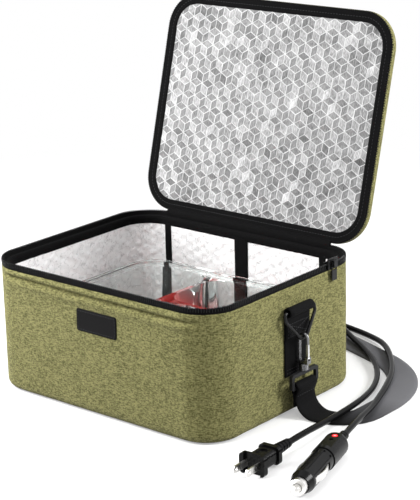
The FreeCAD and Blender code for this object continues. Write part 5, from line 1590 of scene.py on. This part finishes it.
@dataclass
class Lead:
    """Cord from a plug on the floor to a coil behind the bag, with its tie and connector."""

    kit: Kit
    name: str
    route: Tuple[Point, ...]
    coil_centre: Pair
    coil_radius: float
    half_turns: int
    tail: Tuple[Point, ...]
    length: float
    replaced: Tuple[str, ...]
    carried: Tuple[str, ...]
    diameter: float = 5.5
    pitch: float = 6.2
    low: float = 4.95
    high: float = 11.15
    steps: int = 9

    def coil(self) -> List[Point]:
        """Returns points of the coil: inwards on its upper layer, down, and outwards on its lower one."""
        cx, cy = self.coil_centre
        shrink = self.pitch / 2
        radii = [(self.coil_radius - k * shrink, self.high, self.high) for k in range(self.half_turns)]
        inner = self.coil_radius - self.half_turns * shrink
        radii.append((inner, self.high, self.low))
        radii += [(inner + k * shrink, self.low, self.low) for k in range(1, self.half_turns)]
        reach = 1 / math.cos(math.pi / self.steps / 2)
        at_y = cy + self.coil_radius
        side = 1
        half_step = math.tan(math.pi / self.steps / 2)
        points: List[Point] = [(cx + self.coil_radius * half_step, at_y, self.high)]
        for radius, z_from, z_to in radii:
            middle = at_y - side * radius
            for k in range(self.steps):
                share = (k + 0.5) / self.steps
                angle = math.pi * (share + (0.5 if side > 0 else 1.5))
                z = z_from + (z_to - z_from) * share
                grown = radius * reach
                points.append((cx + grown * math.cos(angle), middle + grown * math.sin(angle), z))
            at_y = middle - side * radius
            side = -side
        return points + [(cx - radii[-1][0] * half_step, at_y, self.low)]

    def build_cord(self) -> None:
        points = [*self.route, *self.coil(), *self.tail]
        curve = bpy.data.curves.new(self.name, "CURVE")
        curve.dimensions = "3D"
        curve.bevel_depth = self.diameter / 2 * MM
        curve.bevel_resolution = 5
        curve.resolution_u = 8
        curve.use_fill_caps = True
        spline = curve.splines.new("NURBS")
        spline.points.add(len(points) - 1)
        for place, (x, y, z) in zip(spline.points, points):
            place.co = (x * MM, y * MM, z * MM, 1.0)
        spline.order_u = 3
        spline.use_endpoint_u = True
        curve.materials.append(CORD.material())
        made = bpy.data.objects.new(self.name, curve)
        bpy.context.scene.collection.objects.link(made)
        self.kit.give(made, "bag", "cord_plastic", self.replaced)

    def build_tie(self) -> None:
        """Builds the strip that ties the coil, round its turns on the side next to the bag."""
        cx, cy = self.coil_centre
        outer = cy - self.coil_radius - self.diameter / 2 - 1.3
        inner = cy - self.coil_radius + self.half_turns * self.pitch / 2 + self.diameter / 2 + 2.4
        low, high = 0.75, self.high + self.diameter / 2 + 1.0
        round_off = 4.0
        stations = []
        corners = [(inner, high, 0), (outer, high, 90), (outer, low, 180), (inner, low, 270)]
        for y, z, turn in corners:
            in_y = y - round_off if y == inner else y + round_off
            in_z = z - round_off if z == high else z + round_off
            for degrees in range(0, 91, 15):
                angle = math.radians(turn + degrees)
                out = Vector((0.0, math.cos(angle), math.sin(angle)))
                stations.append(
                    Station(Vector((cx, in_y, in_z)) + out * round_off, Vector(X_WAY), out)
                )
        shape = Shape()
        band(shape, stations, 9.0, 0.9, closed=True)
        made = shape.piece(self.name + "_tie", (TIE,))
        self.kit.give(made, "bag", "cord_plastic")

    def build(self) -> None:
        """Builds the cord and its tie."""
        self.build_cord()
        self.build_tie()


def mains_lead(kit: Kit) -> Lead:
    """Returns the mains lead, on the route that the CAD gives it."""
    return Lead(
        kit,
        "mains_cord",
        (
            (183.175, -68.5, 9.0), (181.6, -46.0, 9.0), (179.5, -22.0, 7.4), (177.0, 6.0, 5.6),
            (174.0, 36.0, 5.0), (168.5, 64.0, 3.7), (159.5, 91.0, 2.9), (144.5, 118.0, 3.4),
            (123.0, 142.0, 5.0), (96.0, 163.0, 5.0), (66.0, 182.0, 5.6), (37.0, 199.0, 11.15),
        ),
        (8.0, 160.0),
        39.0,
        5,
        (
            (-8.1, 192.8, 4.95), (-22.9, 192.8, 5.0), (-35.6, 185.4, 5.1), (-43.0, 172.7, 5.2),
            (-43.0, 165.3, 5.2),
        ),
        1.408,
        ("ac_cord", "ac_cord_coil"),
        ("ac_plug_body", "ac_plug_blades", "ac_connector"),
    )


def car_lead(kit: Kit) -> Lead:
    """Returns the car lead, on the route that the CAD gives it."""
    return Lead(
        kit,
        "car_cord_line",
        (
            (213.1, -30.6, 10.75), (208.7, -15.65, 10.75), (198.5, 16.0, 8.6), (190.0, 42.0, 5.4),
            (180.5, 68.0, 5.0), (170.0, 95.0, 5.0), (156.0, 124.0, 5.0), (135.0, 154.0, 5.0),
            (108.0, 183.0, 4.8), (80.0, 197.0, 3.2), (52.0, 205.0, 2.75), (22.0, 210.0, 2.75),
            (-10.0, 211.0, 3.0), (-39.0, 205.0, 7.0), (-66.0, 194.0, 11.15),
        ),
        (-93.0, 158.0),
        36.0,
        4,
        ((-108.0, 194.0, 4.95), (-122.0, 194.0, 4.95)),
        1.228,
        ("car_cord", "car_cord_coil"),
        (
            "car_plug_body", "car_plug_nut", "car_plug_tip", "car_plug_fuse", "car_plug_lamp",
            "car_plug_clip_left", "car_plug_clip_right", "dc_connector",
        ),
    )


@dataclass
class Plugs:
    """Finishes of the plugs, connectors, zip slider and pull."""

    kit: Kit

    def dress(self) -> None:
        """Gives every piece its finish."""
        lamp_low, lamp_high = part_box("car_plug_lamp")
        heart = (*((lamp_low + lamp_high) / 2).xy, lamp_high.z)
        lamp = Lamp("red_lamp", heart, (lamp_high.x - lamp_low.x) / 2)
        self.kit.dress(PLUG, "ac_plug_body", "car_plug_body", "ac_connector", "dc_connector")
        self.kit.dress(NICKEL, "ac_plug_blades", "car_plug_nut", "car_plug_tip")
        self.kit.dress(NICKEL, "car_plug_clip_left", "car_plug_clip_right")
        self.kit.dress(GLASS, "car_plug_fuse")
        self.kit.dress(lamp, "car_plug_lamp")
        self.kit.dress(BLACK_PAINT, "zip_slider", "zip_pull")


def seen_rays(graph: Graph) -> Socket:
    """Returns 1 for rays that show what they hit: camera, mirror and glass ones."""
    path = graph.add("ShaderNodeLightPath")
    seen = graph.math("MAXIMUM", path.outputs["Is Camera Ray"], path.outputs["Is Glossy Ray"])
    return graph.math("MAXIMUM", seen, path.outputs["Is Transmission Ray"])


@dataclass
class Studio:
    """Camera, soft light and a plain pale floor."""

    place: Point = (1.0062, -1.1401, 0.5941)
    azimuth: float = 40.158
    elevation: float = 17.129
    roll: float = -1.429
    lens: float = 126.3
    ambient: float = 0.5
    floor_half: float = 6.0
    floor_level: float = -0.0003
    floor_tone: Colour = (0.95, 0.95, 0.95)
    floor_bounce: float = 0.3
    floor_fade: Tuple[float, float, float, float] = (0.3, 0.9, 0.35, 1.0)

    def build_camera(self) -> None:
        """Builds the camera that fits the photograph."""
        a, e, r = (math.radians(v) for v in (self.azimuth, self.elevation, self.roll))
        back = Vector((math.sin(a) * math.cos(e), -math.cos(a) * math.cos(e), math.sin(e)))
        right = Vector((math.cos(a), math.sin(a), 0.0))
        up = back.cross(right)
        turned_right = right * math.cos(r) + up * math.sin(r)
        turned_up = up * math.cos(r) - right * math.sin(r)
        data = bpy.data.cameras.new("camera")
        data.sensor_width = 36.0
        data.lens = self.lens
        data.clip_end = 50.0
        camera = bpy.data.objects.new("camera", data)
        turn = Matrix((turned_right, turned_up, back)).transposed().to_4x4()
        camera.matrix_world = Matrix.Translation(Vector(self.place)) @ turn
        bpy.context.scene.collection.objects.link(camera)
        bpy.context.scene.camera = camera

    def build_floor(self) -> None:
        """Builds the floor, which keeps the shadows."""
        half = self.floor_half
        mesh = bpy.data.meshes.new("floor")
        level = self.floor_level
        corners = [(-half, -half, level), (half, -half, level), (half, half, level), (-half, half, level)]
        mesh.from_pydata(corners, [], [(0, 1, 2, 3)])
        material = bpy.data.materials.new("floor")
        material.use_nodes = True
        graph = Graph(material.node_tree)
        seen = seen_rays(graph)
        pale = graph.mix(seen, (self.floor_bounce,) * 3, self.floor_tone)
        plain = graph.add("ShaderNodeBsdfDiffuse", {"Color": pale}).outputs[0]
        white = graph.add("ShaderNodeEmission", {"Color": (1.0, 1.0, 1.0, 1.0), "Strength": 1.0}).outputs[0]
        far = graph.add("ShaderNodeVectorMath", {0: graph.objects()}, operation="LENGTH").outputs["Value"]
        share = graph.math("MULTIPLY", graph.span(far, *self.floor_fade), seen)
        surface = graph.add("ShaderNodeMixShader", {0: share, 1: plain, 2: white}).outputs[0]
        graph.add("ShaderNodeOutputMaterial", {"Surface": surface})
        mesh.materials.append(material)
        floor = bpy.data.objects.new("floor", mesh)
        bpy.context.scene.collection.objects.link(floor)

    def build_world(self) -> None:
        """Builds the surroundings: white where they are seen, softer as light."""
        world = bpy.data.worlds.new("studio")
        world.use_nodes = True
        graph = Graph(world.node_tree)
        strength = graph.span(seen_rays(graph), 0.0, 1.0, self.ambient, 1.0)
        sky = graph.add("ShaderNodeBackground", {"Color": (1.0, 1.0, 1.0, 1.0), "Strength": strength})
        graph.add("ShaderNodeOutputWorld", {"Surface": sky.outputs[0]})
        bpy.context.scene.world = world

    def build_lights(self) -> None:
        """Builds the soft boxes."""
        for name, place, size, power in (
            ("top", (0.0, -0.3, 1.9), 1.3, 12.0),
            ("front", (-0.5, -1.3, 1.7), 0.9, 27.0),
            ("left", (-0.65, -0.4, 0.38), 0.35, 6.5),
            ("right", (1.05, 0.65, 0.7), 0.5, 20.0),
        ):
            data = bpy.data.lights.new(name, "AREA")
            data.shape = "SQUARE"
            data.size = size
            data.energy = power
            light = bpy.data.objects.new(name, data)
            light.location = place
            aim = Vector((0.0, 0.0, 0.1)) - Vector(place)
            light.rotation_euler = aim.to_track_quat("-Z", "Y").to_euler()
            bpy.context.scene.collection.objects.link(light)

    def build(self) -> None:
        """Builds the whole studio."""
        self.build_camera()
        self.build_floor()
        self.build_world()
        self.build_lights()
        settings = bpy.context.scene.view_settings
        settings.view_transform = "Standard"


def main() -> None:
    """Builds the scene."""
    logging.basicConfig(level=logging.INFO, format="%(name)s: %(message)s")
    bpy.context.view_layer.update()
    kit = Kit(frame["nodes"])
    Studio().build()
    mains_lead(kit).build()
    car_lead(kit).build()
    Bag(kit).build()
    Lid(kit).build()
    for side in (1, -1):
        StrapEnd(kit, side).build()
    ShoulderStrap(kit).build()
    HeatingPlate(kit).dress()
    Dish(kit).dress()
    Plugs(kit).dress()
    for line in kit.done:
        LOG.info(line)
    bpy.context.view_layer.update()


if __name__ == "__main__":
    main()
